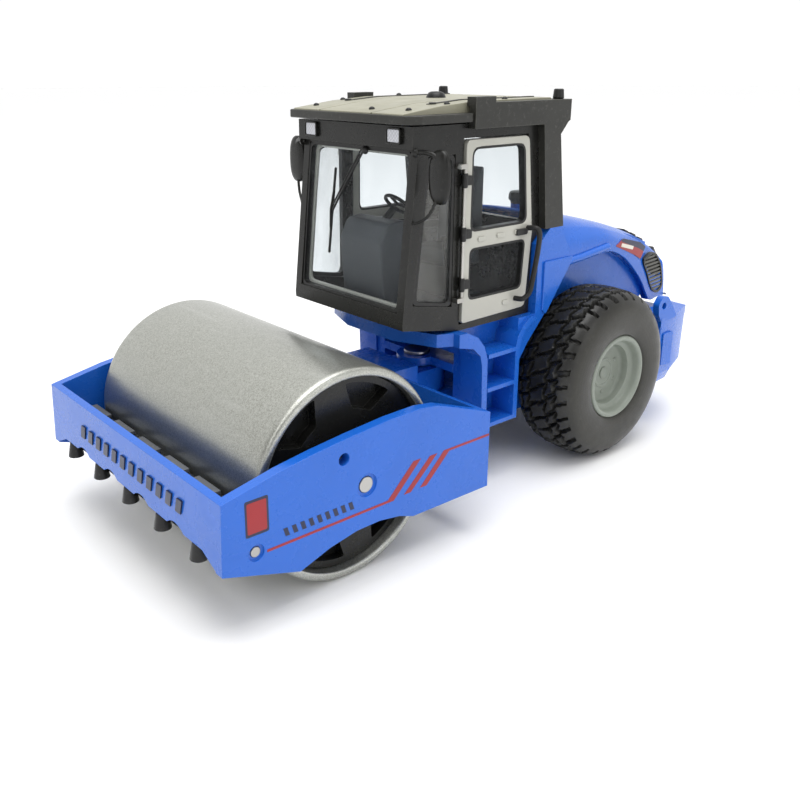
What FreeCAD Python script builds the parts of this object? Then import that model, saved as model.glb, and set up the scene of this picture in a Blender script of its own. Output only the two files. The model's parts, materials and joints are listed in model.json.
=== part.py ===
import FreeCAD, Part
import Sketcher

import math
import os
import re

# A toy single-drum road roller, about 165 mm long.
# Every position below is measured from the rear axle: X forward to the drum, Y to the left, Z up from
# the ground. The placement of each sub-part then moves it by origin_x, so that the row's own origin is
# on the ground, under the middle of the whole toy.

DIMS = {
    # whole toy
    "origin_x": -34.8,
    "wheelbase": 85.1,
    "wheel_radius": 21.5,
    "pivot_x": 38.7,
    "snug": 0.03,
    "running": 0.06,
    # front frame
    "plate_outer": 36.8,
    "plate_inner": 34.6,
    "beam_front": 116.5,
    "beam_front_inner": 114.5,
    "beam_rear": 52.1,
    "beam_rear_inner": 54.3,
    "tongue_low": 20.0,
    "tongue_high": 26.0,
    "tongue_half": 7.0,
    "hitch_half": 9.0,
    "scallop_radius": 5.0,
    "tooth_pitch": 13.65,
    "panel_low": 16.9,
    "rear_beam_low": 10.6,
    "rod_x": 109.6,
    "rod_z": 16.8,
    "rod_radius": 1.0,
    # drum
    "drum_half": 31.95,
    "drum_axle_radius": 1.6,
    "drum_axle_half": 36.5,
    "drum_bore": 19.6,
    # rear wheels
    "tyre_inner": 15.0,
    "tyre_outer": 32.5,
    "bead_radius": 10.6,
    "wheel_axle_radius": 1.5,
    "wheel_axle_half": 27.4,
    # chassis
    "pan_half": 14.4,
    "pan_wall": 2.0,
    "pan_rear": -27.0,
    "pan_front": 38.4,
    "pan_floor": 12.0,
    "pan_floor_thick": 1.6,
    "pan_top": 36.3,
    "deck_top": 39.3,
    "pin_radius": 1.9,
    # steps
    "step_outer": 22.0,
    "step_inner": 15.2,
    "step_rear": 27.6,
    "step_front": 36.8,
    "tread_thick": 1.0,
    # hood
    "hinge_x": 18.0,
    "hinge_z": 49.8,
    "hinge_radius": 1.0,
    "hood_panel_half": 14.3,
    "hood_cavity_half": 13.1,
    "hood_crown_half": 14.4,
    "hood_half": 19.0,
    # cab
    "cab_half": 19.3,
    "cab_inner_half": 17.7,
    "cab_glass_half": 17.2,
    "glass_thick": 0.6,
    "door_thick": 1.4,
    "door_hinge_x": 44.6,
    "door_hinge_y": 20.25,
    "door_pin_radius": 0.4,
    "header_front": 58.8,
    # roof and rollover frame
    "rops_outer": 21.2,
    "rops_wall": 1.8,
    "rops_low": 83.0,
    "rops_top": 88.2,
    "rops_post_inner": 17.6,
    "rops_foot": 59.3,
    "roof_low": 84.0,
}

doc = FreeCAD.newDocument("road_roller")
dims = doc.addObject("Spreadsheet::Sheet", "Dims")
cells_used = 0


def keep_size(alias, value):
    """Writes one driving size into the sheet, under its own name."""
    global cells_used
    cells_used += 1
    dims.set(f"A{cells_used}", alias)
    dims.set(f"B{cells_used}", str(value))
    dims.setAlias(f"B{cells_used}", alias)


for dim_name, dim_value in DIMS.items():
    keep_size(dim_name, dim_value)
doc.recompute()


def formula(text):
    """The expression that a size text such as "wheelbase - 2" stands for in the document."""
    return re.sub(r"[a-z][a-z_]+", lambda word: "Dims." + word.group(), str(text))


def value_of(text):
    """The number that a size text stands for, for first guesses and for choosing directions."""
    return float(doc.Dims.evalExpression(formula(text)))


def bind(thing, **sizes):
    """Binds properties of an object to size texts. Placement_Base_x stands for Placement.Base.x."""
    for prop, text in sizes.items():
        thing.setExpression(prop.replace("_", "."), formula(text))


def new_body(name):
    return doc.addObject("PartDesign::Body", name)


def outline(body, plane, corners, lift="0"):
    """A closed sketch through named corners on one of the body's origin planes, lifted off it.

    Both coordinates of a corner are size texts,
    and its distances from the sketch's origin are bound to them.
    """
    sketch = body.newObject("Sketcher::SketchObject", body.Name + "_outline")
    role = {"XY": "XY_Plane", "XZ": "XZ_Plane", "YZ": "YZ_Plane"}[plane]
    base = [o for o in body.Origin.OriginFeatures if o.Role == role][0]
    sketch.AttachmentSupport = [(base, "")]
    sketch.MapMode = "FlatFace"
    sketch.setExpression("AttachmentOffset.Base.z", formula(lift))
    texts = list(corners.values())
    spots = [FreeCAD.Vector(value_of(u), value_of(v), 0) for u, v in texts]
    for number, spot in enumerate(spots):
        sketch.addGeometry(Part.LineSegment(spot, spots[(number + 1) % len(spots)]))
    for number in range(len(spots)):
        sketch.addConstraint(Sketcher.Constraint("Coincident", number, 2, (number + 1) % len(spots), 1))
    for number, (text, spot) in enumerate(zip(texts, spots)):
        for kind, along, distance in (("DistanceX", text[0], spot.x), ("DistanceY", text[1], spot.y)):
            index = sketch.addConstraint(Sketcher.Constraint(kind, -1, 1, number, 1, distance))
            sketch.setExpression(f"Constraints[{index}]", formula(along))
    return sketch


def grown(corners, by):
    """The same outline with each corner moved away from the middle by a small amount both ways."""
    middle_x = sum(value_of(u) for u, v in corners.values()) / len(corners)
    middle_z = sum(value_of(v) for u, v in corners.values()) / len(corners)
    moved = {}
    for name, (u, v) in corners.items():
        step_x = by * math.copysign(1, value_of(u) - middle_x)
        step_z = by * math.copysign(1, value_of(v) - middle_z)
        moved[name] = (f"{u} + {step_x}", f"{v} + {step_z}")
    return moved


def pad(body, sketch, length, symmetric=False):
    feature = body.newObject("PartDesign::Pad", body.Name + "_pad")
    feature.Profile = sketch
    feature.SideType = "Symmetric" if symmetric else "One side"
    bind(feature, Length=length)
    return feature


def pocket(body, sketch, length, symmetric=False, flip=False):
    feature = body.newObject("PartDesign::Pocket", body.Name + "_pocket")
    feature.Profile = sketch
    feature.SideType = "Symmetric" if symmetric else "One side"
    feature.Reversed = flip
    bind(feature, Length=length)
    return feature


def side_plate(name, corners, outer, thickness):
    """A flat plate on the left side, drawn in X and Z, whose outer face is at Y = outer."""
    body = new_body(name)
    pad(body, outline(body, "XZ", corners, f"-({outer})"), thickness)
    return body


def across(name, corners, half):
    """A prism drawn in X and Z that reaches the same distance to the left and to the right."""
    body = new_body(name)
    pad(body, outline(body, "XZ", corners), f"2 * ({half})", symmetric=True)
    return body


def flat_plate(name, corners, low, thickness):
    """A flat plate drawn in X and Y, lying at Z = low."""
    body = new_body(name)
    pad(body, outline(body, "XY", corners, low), thickness)
    return body


def wall(name, corners, back, thickness):
    """A flat plate drawn in Y and Z that stands at X = back."""
    body = new_body(name)
    pad(body, outline(body, "YZ", corners, back), thickness)
    return body


def turned(name, corners, x="0", z="wheel_radius"):
    """A round piece about a line along Y, drawn as distance along Y and radius."""
    body = new_body(name)
    sketch = outline(body, "YZ", corners)
    feature = body.newObject("PartDesign::Revolution", name + "_turn")
    feature.Profile = sketch
    feature.ReferenceAxis = (sketch, ["H_Axis"])
    feature.Angle = 360
    bind(body, Placement_Base_x=x, Placement_Base_z=z)
    return body


def block(name, x, y, z):
    """A box between two size texts along each axis."""
    box = doc.addObject("Part::Box", name)
    bind(box, Length=f"({x[1]}) - ({x[0]})", Width=f"({y[1]}) - ({y[0]})",
         Height=f"({z[1]}) - ({z[0]})")
    bind(box, Placement_Base_x=x[0], Placement_Base_y=y[0], Placement_Base_z=z[0])
    return box


TURN_TO = {
    "X": FreeCAD.Rotation(FreeCAD.Vector(0, 1, 0), 90),
    "Y": FreeCAD.Rotation(FreeCAD.Vector(1, 0, 0), -90),
    "Z": FreeCAD.Rotation(),
}


def rod(name, start, length, radius, along="Y", tip_radius=None):
    """A rod, or a cone where the tip's radius is given, from a start point along one axis."""
    kind = "Part::Cylinder" if tip_radius is None else "Part::Cone"
    thing = doc.addObject(kind, name)
    thing.Placement.Rotation = TURN_TO[along]
    bind(thing, Height=length)
    if tip_radius is None:
        bind(thing, Radius=radius)
    else:
        bind(thing, Radius1=radius, Radius2=tip_radius)
    bind(thing, Placement_Base_x=start[0], Placement_Base_y=start[1], Placement_Base_z=start[2])
    return thing


def crossing_rod(name, x, z, half, radius):
    """A rod along Y through the middle plane."""
    return rod(name, (x, f"-({half})", z), f"2 * ({half})", radius)


def join(name, pieces):
    fusion = doc.addObject("Part::MultiFuse", name)
    fusion.Shapes = pieces
    fusion.Refine = True
    return fusion


def group(name, pieces):
    """Separate solids that share one node."""
    compound = doc.addObject("Part::Compound", name)
    compound.Links = pieces
    return compound


def cut(name, base, tools):
    difference = doc.addObject("Part::Cut", name)
    difference.Base = base
    difference.Tool = tools[0] if len(tools) == 1 else join(name + "_tools", tools)
    return difference


def reflected(name, piece):
    """The same piece on the right side."""
    mirror = doc.addObject("Part::Mirroring", name)
    mirror.Source = piece
    mirror.Base = FreeCAD.Vector(0, 0, 0)
    mirror.Normal = FreeCAD.Vector(0, 1, 0)
    return mirror


def both_sides(name, piece):
    return [piece, reflected(name, piece)]


NODES = {}


def settle(label, piece):
    """Makes a finished piece a node: gives it its label and moves it to the row's origin."""
    piece.Label = label
    bound = {path.strip("."): text for path, text in piece.ExpressionEngine}
    held = bound.get("Placement.Base.x", "0")
    piece.setExpression("Placement.Base.x", f"{held} + Dims.origin_x")
    NODES[label] = piece
    return piece


def settle_pair(label, piece):
    """Makes a left piece and its mirror image on the right two nodes."""
    settle(label + "_left", piece)
    mirror = reflected(label + "_right", piece)
    mirror.Label = label + "_right"
    NODES[mirror.Label] = mirror


# ---------------------------------------------------------------------- front frame

def make_front_frame():
    """Two side plates and two beams as one ring, with the tongue of the middle joint."""
    ring = across("frame_ring", {
        "front_low": ("beam_front", "14.6"),
        "front_high": ("beam_front - 0.5", "27.9"),
        "brow_a": ("104.3", "30.4"),
        "brow_b": ("96.8", "31.5"),
        "brow_c": ("88.8", "32.4"),
        "brow_d": ("79.5", "33.2"),
        "brow_e": ("72.0", "33.4"),
        "peak": ("67.2", "32.8"),
        "rear_high": ("beam_rear", "27.5"),
        "rear_low": ("beam_rear", "rear_beam_low"),
        "arch_rear": ("73.4", "10.9"),
        "arch_a": ("77.0", "12.2"),
        "arch_b": ("82.0", "13.0"),
        "arch_c": ("87.6", "12.9"),
        "arch_d": ("94.0", "11.7"),
        "chin": ("100.6", "9.5"),
    }, "plate_outer")
    opening = outline(ring, "XY", {
        "a": ("beam_rear_inner", "-plate_inner"),
        "b": ("beam_front_inner", "-plate_inner"),
        "c": ("beam_front_inner", "plate_inner"),
        "d": ("beam_rear_inner", "plate_inner"),
    })
    pocket(ring, opening, "100", symmetric=True)
    tongue = join("tongue", [
        block("tongue_bar", ("pivot_x", "beam_rear_inner"), ("-tongue_half", "tongue_half"),
              ("tongue_low", "tongue_high")),
        rod("tongue_eye", ("pivot_x", "0", "tongue_low"), "tongue_high - tongue_low", "tongue_half",
            "Z"),
        block("hitch_box", ("pivot_x + 8", "beam_rear_inner"), ("-hitch_half", "hitch_half"),
              ("tongue_low - 2", "tongue_high + 3")),
    ])
    tools = [rod("pivot_bore", ("pivot_x", "0", "0"), "60", "pin_radius + running", "Z")]
    for number in range(4):
        y = f"tooth_pitch * ({number} - 1.5)"
        tools.append(rod(f"front_scallop_{number}", ("beam_front_inner - 1", y, "panel_low - 3.9"), "5",
                         "scallop_radius", "X"))
        tools.append(rod(f"rear_scallop_{number}", ("beam_rear - 1", y, "rear_beam_low - 3.9"), "3.3",
                         "scallop_radius", "X"))
    tools.append(wall("panel_edge", {
        "right_foot": ("-plate_inner", "0"), "left_foot": ("plate_inner", "0"),
        "left_end": ("plate_inner", "14.9"), "left_rise": ("plate_inner - 4.4", "panel_low"),
        "right_rise": ("4.4 - plate_inner", "panel_low"), "right_end": ("-plate_inner", "14.9"),
    }, "beam_front_inner - 1", "beam_front - beam_front_inner + 2"))
    tools.append(crossing_rod("drum_axle_bore", "wheelbase", "wheel_radius", "60",
                              "drum_axle_radius + running"))
    tools.append(crossing_rod("scraper_rod_bore", "rod_x", "rod_z", "60", "rod_radius + snug"))
    tools.append(crossing_rod("lashing_bore", "90.5", "28.4", "60", "1.2"))
    for name, x, z, radius in (("axle", "wheelbase", "wheel_radius", "2.3"),
                               ("rod", "rod_x", "rod_z", "1.6")):
        tools += both_sides(f"{name}_dish_right",
                            rod(f"{name}_dish_left", (x, "plate_outer - 0.5", z), "2", radius))
    settle("front_frame", cut("front_frame", join("frame_solid", [ring, tongue]), tools))


def row_of(name, count, pitch, make_one):
    """Pieces spaced evenly about the middle plane. make_one gets a name and a Y as a size text."""
    return [make_one(f"{name}_{k}", f"{pitch} * ({k} - {(count - 1) / 2})") for k in range(count)]


def make_front_scraper():
    """The bar on the steel rod behind the front beam, with teeth below it and pads on top."""
    bar = block("scraper_strip", ("107.3", "beam_front_inner - 0.3"),
                ("0.4 - plate_inner", "plate_inner - 0.4"),
                ("14.8", "21.0"))
    teeth = row_of("front_tooth", 5, "tooth_pitch",
                   lambda name, y: rod(name, ("115.5", y, "13.7"), "panel_low - 13.7", "1.7", "Z",
                                       "1.1"))
    bore = crossing_rod("scraper_bar_bore", "rod_x", "rod_z", "60", "rod_radius + snug")
    settle("front_scraper", cut("front_scraper", join("scraper_solid", [bar] + teeth), [bore]))
    pads = row_of("pad", 6, "11.8", lambda name, y: block(
        name, ("107.3", "111.4"), (f"{y} - 4", f"{y} + 4"), ("21.0", "21.9")))
    settle("scraper_pads", group("scraper_pads", pads))
    settle("scraper_rod", crossing_rod("scraper_rod", "rod_x", "rod_z", "plate_outer - 0.3",
                                       "rod_radius"))


def make_rear_scraper():
    bar = block("rear_strip", ("beam_rear_inner + 0.1", "59"),
                ("0.4 - plate_inner", "plate_inner - 0.4"),
                ("11.0", "14.0"))
    teeth = row_of("rear_tooth", 5, "tooth_pitch",
                   lambda name, y: rod(name, ("56.2", y, "8.0"), "3.2", "1.9", "Z", "1.1"))
    settle("rear_scraper", join("rear_scraper", [bar] + teeth))


# ---------------------------------------------------------------------- drum

def make_drum():
    shell = turned("drum_shell", {
        "left_outer": ("-drum_half", "wheel_radius - 0.6"),
        "left_crown": ("0.5 - drum_half", "wheel_radius"),
        "right_crown": ("drum_half - 0.5", "wheel_radius"),
        "right_outer": ("drum_half", "wheel_radius - 0.6"),
        "right_lip": ("drum_half", "drum_bore + 0.5"),
        "right_inner": ("drum_half - 0.8", "drum_bore"),
        "left_inner": ("0.8 - drum_half", "drum_bore"),
        "left_lip": ("-drum_half", "drum_bore + 0.5"),
    }, "wheelbase")
    settle("drum_shell", shell)
    disc = turned("drum_disc", {
        "rim_in": ("27.0", "drum_bore - snug"),
        "rim_out": ("29.0", "drum_bore - snug"),
        "face": ("28.4", "drum_bore - 1.6"),
        "boss_root": ("28.4", "5.0"),
        "boss_face": ("31.6", "4.4"),
        "bore_out": ("31.6", "drum_axle_radius + snug"),
        "bore_in": ("27.0", "drum_axle_radius + snug"),
    }, "wheelbase")
    ribs = []
    for number in range(6):
        rib = doc.addObject("Part::Box", f"drum_rib_{number}")
        bind(rib, Length="13.5", Width="1.8", Height="1.6")
        around = math.radians(60 * number)
        rib.Placement.Rotation = FreeCAD.Rotation(FreeCAD.Vector(0, 1, 0), -60 * number)
        bind(rib, Placement_Base_x=f"wheelbase + 4.4 * {math.cos(around)} + 0.8 * {math.sin(around)}",
             Placement_Base_y="28.2",
             Placement_Base_z=f"wheel_radius + 4.4 * {math.sin(around)} - 0.8 * {math.cos(around)}")
        ribs.append(rib)
    settle_pair("drum_end", join("drum_end_left", [disc] + ribs))
    settle("drum_axle", crossing_rod("drum_axle", "wheelbase", "wheel_radius", "drum_axle_half",
                                     "drum_axle_radius"))


# ---------------------------------------------------------------------- rear wheels

def make_rear_wheels():
    settle_pair("tyre", turned("tyre_left", {
        "bead_in": ("tyre_inner + 0.6", "bead_radius"),
        "wall_in": ("tyre_inner", "14.0"),
        "shoulder_in": ("tyre_inner + 0.4", "wheel_radius - 2.4"),
        "crown_in": ("tyre_inner + 2.4", "wheel_radius"),
        "crown_out": ("tyre_outer - 2.4", "wheel_radius"),
        "shoulder_out": ("tyre_outer - 0.4", "wheel_radius - 2.4"),
        "wall_out": ("tyre_outer", "14.0"),
        "bead_out": ("tyre_outer - 0.8", "bead_radius"),
    }))
    settle_pair("rim", turned("rim_left", {
        "barrel_in": ("tyre_inner + 0.9", "bead_radius - snug"),
        "barrel_out": ("tyre_outer - 0.5", "bead_radius - snug"),
        "lip": ("tyre_outer - 0.5", "9.5"),
        "well": ("27.6", "8.6"),
        "dish": ("27.0", "5.2"),
        "hub_root": ("27.8", "4.6"),
        "hub_face": ("27.8", "wheel_axle_radius + snug"),
        "hub_in": ("24.4", "wheel_axle_radius + snug"),
        "back": ("24.4", "8.6"),
        "barrel_inner": ("tyre_inner + 0.9", "9.2"),
    }))
    settle("rear_axle", crossing_rod("rear_axle", "0", "wheel_radius", "wheel_axle_half",
                                     "wheel_axle_radius"))


# ---------------------------------------------------------------------- chassis

def make_chassis():
    """The blue pan: two side walls, a floor, a front arch and the two ears of the middle joint."""
    side = side_plate("pan_side", {
        "rear_low": ("pan_rear", "14"),
        "rear_high": ("pan_rear", "27.5"),
        "rail_end": ("8.0", "27.5"),
        "rise": ("8.6", "pan_top"),
        "front_high": ("pan_front", "pan_top"),
        "front_low": ("pan_front", "pan_floor"),
        "belly": ("pan_rear + 4", "pan_floor"),
    }, "pan_half", "pan_wall")
    floor = block("pan_floor_plate", ("pan_rear + 4", "pan_front"),
                  ("pan_wall - pan_half", "pan_half - pan_wall"),
                  ("pan_floor", "pan_floor + pan_floor_thick"))
    tail = block("pan_tail", ("pan_rear", "pan_rear + 1.6"),
                 ("pan_wall - pan_half", "pan_half - pan_wall"),
                 ("14", "27.5"))
    bulkhead = block("bulkhead", ("8.6", "10.2"), ("pan_wall - pan_half", "pan_half - pan_wall"),
                     ("pan_floor", "pan_top"))
    lintel = block("lintel", ("pan_front - 1.6", "pan_front"),
                   ("pan_wall - pan_half", "pan_half - pan_wall"),
                   ("31.0", "pan_top"))
    pieces = both_sides("pan_side_right", side) + [floor, tail, bulkhead, lintel]
    for name, low in (("lower", "tongue_low - 2.3"), ("upper", "tongue_high + 0.3")):
        pieces.append(block(f"{name}_ear", ("26", "pivot_x"),
                            ("pan_wall - pan_half", "pan_half - pan_wall"),
                            (low, f"{low} + 2")))
        pieces.append(rod(f"{name}_ear_nose", ("pivot_x", "0", low), "2", "5", "Z"))
    tools = [
        crossing_rod("rear_axle_bore", "0", "wheel_radius", "40", "wheel_axle_radius + running"),
        rod("pin_bore", ("pivot_x", "0", "pan_floor + pan_floor_thick"), "30", "pin_radius + snug",
            "Z"),
    ]
    settle("chassis", cut("chassis", join("chassis_solid", pieces), tools))
    pin = join("articulation_pin", [
        rod("pin_shaft", ("pivot_x", "0", "tongue_low - 3"), "tongue_high - tongue_low + 5.3",
            "pin_radius", "Z"),
        rod("pin_head", ("pivot_x", "0", "tongue_high + 2.3"), "1.0", "3.2", "Z"),
    ])
    settle("articulation_pin", pin)
    cover = across("base_plate_solid", {
        "rear": ("-16", "10.6"),
        "front": ("30", "10.6"),
        "front_high": ("31.4", "pan_floor"),
        "rear_high": ("-17.4", "pan_floor"),
    }, "11.5")
    spots = [(x, y) for x in ("-13.0", "26.0") for y in ("-8.0", "8.0")]
    sockets = [rod(f"screw_socket_{k}", (x, y, "9"), "4", "1.3", "Z") for k, (x, y) in enumerate(spots)]
    settle("base_plate", cut("base_plate", cover, sockets))
    screws = [rod(f"screw_{k}", (x, y, "10.9"), "1.0", "1.2", "Z") for k, (x, y) in enumerate(spots)]
    settle("base_screws", group("base_screws", screws))


def make_platform():
    """The casting under and behind the cab: deck, steps, arch panels and rollover-frame seats."""
    deck = flat_plate("deck", {
        "rear_right": ("20.4", "-21"), "well_rear_right": ("26.2", "-21"),
        "well_in_rear_right": ("26.2", "-step_inner"), "well_in_front_right": ("44.6", "-step_inner"),
        "well_front_right": ("44.6", "-21"), "facet_right": ("50.0", "-18.4"),
        "nose_right": ("54.0", "-8.0"),
        "nose_left": ("54.0", "8.0"), "facet_left": ("50.0", "18.4"), "well_front_left": ("44.6", "21"),
        "well_in_front_left": ("44.6", "step_inner"), "well_in_rear_left": ("26.2", "step_inner"),
        "well_rear_left": ("26.2", "21"), "rear_left": ("20.4", "21"),
    }, "pan_top", "deck_top - pan_top")
    back = side_plate("step_back", {
        "rear_low": ("26.2", "14.6"), "front_low": ("pan_front", "14.6"),
        "front_high": ("pan_front", "deck_top"), "rear_high": ("26.2", "deck_top"),
    }, "step_inner", "step_inner - pan_half")
    front = side_plate("step_front_wall", {
        "low_in": ("step_front", "14.6"), "low_out": ("pan_front", "14.6"),
        "bend_out": ("pan_front + 0.6", "30.5"), "flare_a": ("39.6", "33.0"),
        "flare_b": ("42.0", "35.2"),
        "flare_end": ("46.5", "pan_top"), "deck_end": ("46.5", "deck_top"),
        "deck_edge": ("44.0", "deck_top"),
        "flare_c": ("40.6", "37.6"), "flare_d": ("38.4", "35.0"),
        "bend_in": ("step_front + 0.4", "31.7"),
    }, "step_outer", "step_outer - step_inner")
    rear = side_plate("step_rear_wall", {
        "low_out": ("step_rear", "14.6"), "bend_out": ("step_rear", "32.5"),
        "flare_a": ("27.0", "35.2"),
        "flare_b": ("25.2", "37.6"), "flare_end": ("22.4", "deck_top"), "flare_low": ("20.4", "38.4"),
        "flare_c": ("23.6", "36.8"), "flare_d": ("25.6", "34.6"), "bend_in": ("26.2", "32.0"),
        "low_in": ("26.2", "14.6"),
    }, "step_outer", "step_outer - step_inner")
    panel = side_plate("arch_panel", {
        "seat_rear": ("12.6", "rops_foot"), "seam": ("8.9", "53.0"), "tip": ("8.2", "50.8"),
        "heel": ("17.0", "38.6"), "tail": ("22.6", "32.6"), "step_low": ("26.2", "27.6"),
        "step_high": ("26.2", "deck_top"), "cab_low": ("20.4", "deck_top"),
        "cab_high": ("20.4", "55.8"),
        "seat_front": ("16.6", "rops_foot"),
    }, "21.2", "21.2 - pan_half")
    treads = [block(f"tread_{k}", ("step_rear", "step_front"), ("step_inner", "step_outer"),
                    (low, f"{low} + tread_thick")) for k, low in enumerate(("14.6", "23.5", "31.7"))]
    left = [back, front, rear, panel] + treads
    right = [reflected(piece.Name + "_right", piece) for piece in left]
    bores = [crossing_rod("hood_pin_bore", "hinge_x", "hinge_z", "17.2", "hinge_radius + snug")]
    settle("cab_platform", cut("cab_platform", join("platform_solid", [deck] + left + right), bores))
    settle("hood_hinge_pin", crossing_rod("hood_hinge_pin", "hinge_x", "hinge_z", "17.0",
                                          "hinge_radius"))


def make_counterweight():
    """The blue tail casting, drawn in at the bottom, with two lifting lugs and a towing shelf."""
    body = new_body("tail_casting")
    plan = {
        "right_front": ("-25.0", "-27.2"), "right_corner": ("-32.5", "-26.8"),
        "right_rear": ("-43.0", "-23.4"),
        "left_rear": ("-43.0", "23.4"), "left_corner": ("-32.5", "26.8"),
        "left_front": ("-25.0", "27.2"),
        "left_inner": ("-25.0", "pan_half"), "left_bay": ("pan_rear", "pan_half"),
        "right_bay": ("pan_rear", "-pan_half"), "right_inner": ("-25.0", "-pan_half"),
    }
    small = {
        "right_front": ("-25.0", "-25.4"), "right_corner": ("-31.5", "-24.6"),
        "right_rear": ("-39.4", "-14.5"),
        "left_rear": ("-39.4", "14.5"), "left_corner": ("-31.5", "24.6"),
        "left_front": ("-25.0", "25.4"),
        "left_inner": ("-25.0", "pan_half"), "left_bay": ("pan_rear", "pan_half"),
        "right_bay": ("pan_rear", "-pan_half"), "right_inner": ("-25.0", "-pan_half"),
    }
    upper = outline(body, "XY", plan, "19.0")
    pad(body, upper, "10.0")
    loft = body.newObject("PartDesign::AdditiveLoft", "tail_taper")
    loft.Profile = outline(body, "XY", plan, "19.0")
    loft.Sections = [outline(body, "XY", small, "11.0")]
    loft.Ruled = True
    bow = flat_plate("tail_bow", {
        "right": ("-42.9", "-23.4"), "mid_right": ("-44.1", "-12"), "middle": ("-44.5", "0"),
        "mid_left": ("-44.1", "12"), "left": ("-42.9", "23.4"), "left_in": ("-40", "10"),
        "right_in": ("-40", "-10"),
    }, "20.0", "9.0")
    hump = block("tail_hump", ("-35", "-28.2"), ("-12.4", "12.4"), ("28.5", "30.6"))
    shelf = flat_plate("tow_shelf", {
        "root_right": ("-40", "-4.4"), "end_right": ("-46.4", "-4.4"), "nose_right": ("-47.8", "-2.6"),
        "nose_left": ("-47.8", "2.6"), "end_left": ("-46.4", "4.4"), "root_left": ("-40", "4.4"),
    }, "15.0", "1.6")
    lug = side_plate("lifting_lug", {
        "root_rear": ("-32.0", "28.0"), "bend": ("-29.6", "32.0"), "crown_rear": ("-27.4", "34.2"),
        "crown": ("-25.2", "34.5"), "crown_front": ("-23.6", "32.6"), "neck": ("-23.8", "30.4"),
        "root_front": ("-25.2", "27.0"),
    }, "27.2", "1.8")
    slot = rod("lug_slot", ("-25.9", "20", "32.0"), "10", "0.9")
    lugs = both_sides("lug_right", cut("lug_left", lug, [slot]))
    hole = rod("tow_hole", ("-45.9", "0", "10"), "10", "1.1", "Z")
    knob_seat = rod("knob_seat", ("-36.6", "-20.6", "26.6"), "5", "1.7 + snug", "Z")
    solid = join("tail_solid", [body, bow, hump, shelf] + lugs)
    settle("counterweight", cut("counterweight", solid, [hole, knob_seat]))
    settle("filler_knob", rod("filler_knob", ("-36.6", "-20.6", "26.6"), "6.4", "1.7", "Z"))


def make_engine():
    radiator = block("radiator_case", ("-25.2", "-18.6"), ("-9.4", "9.4"), ("13.6", "44.6"))
    hollow = block("radiator_mouth", ("-24.0", "-19.8"), ("-8.2", "8.2"), ("43.0", "46"))
    settle("radiator", cut("radiator", radiator, [hollow]))
    core = block("engine_core", ("-18.4", "5.0"), ("-8.0", "8.0"), ("24.5", "38.0"))
    head = block("engine_head", ("-15.0", "2.0"), ("-5.0", "5.0"), ("37.0", "42.0"))
    ribs = [block(f"engine_rib_{k}", (f"{k} * 3.2 - 16.5", f"{k} * 3.2 - 15.1"), ("-9.6", "9.6"),
                  ("25.5", "36.5")) for k in range(7)]
    foot = block("engine_foot", ("-14.0", "-6.0"), ("-6.0", "6.0"), ("13.6", "25.0"))
    settle("engine_block", join("engine_block", [core, head, foot] + ribs))


# ---------------------------------------------------------------------- hood

CROWN = {
    "crown_front": ("7.5", "60.3"), "crown_a": ("-8.0", "57.4"), "crown_b": ("-17.0", "55.1"),
    "crown_c": ("-28.0", "52.3"), "crown_d": ("-35.6", "49.7"), "crown_rear": ("-41.6", "46.8"),
}
SIDE_GRILLE = {
    "top_front": ("-31.0", "45.2"), "top": ("-34.8", "45.7"), "top_rear": ("-39.0", "43.8"),
    "rear": ("-42.4", "39.4"), "low_rear": ("-43.4", "35.4"), "low": ("-41.0", "33.4"),
    "low_front": ("-37.8", "34.6"), "front": ("-34.2", "39.2"),
}


def trim_to_plan(body, side, inset):
    """Cuts one side of a body to the hood's outline seen from above, moved inward by an inset."""
    pocket(body, outline(body, "XY", {
        "front": ("9", f"{side} * (hood_half + 0.1 - {inset})"),
        "shoulder": ("-12.0", f"{side} * (18.0 - {inset})"),
        "quarter": ("-33.0", f"{side} * (16.0 - {inset})"),
        "tail": ("-50.0", f"{side} * (13.8 - {inset})"),
        "tail_out": ("-50.0", f"{side} * 26"), "front_out": ("9", f"{side} * 26"),
    }), "150", symmetric=True)


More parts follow.
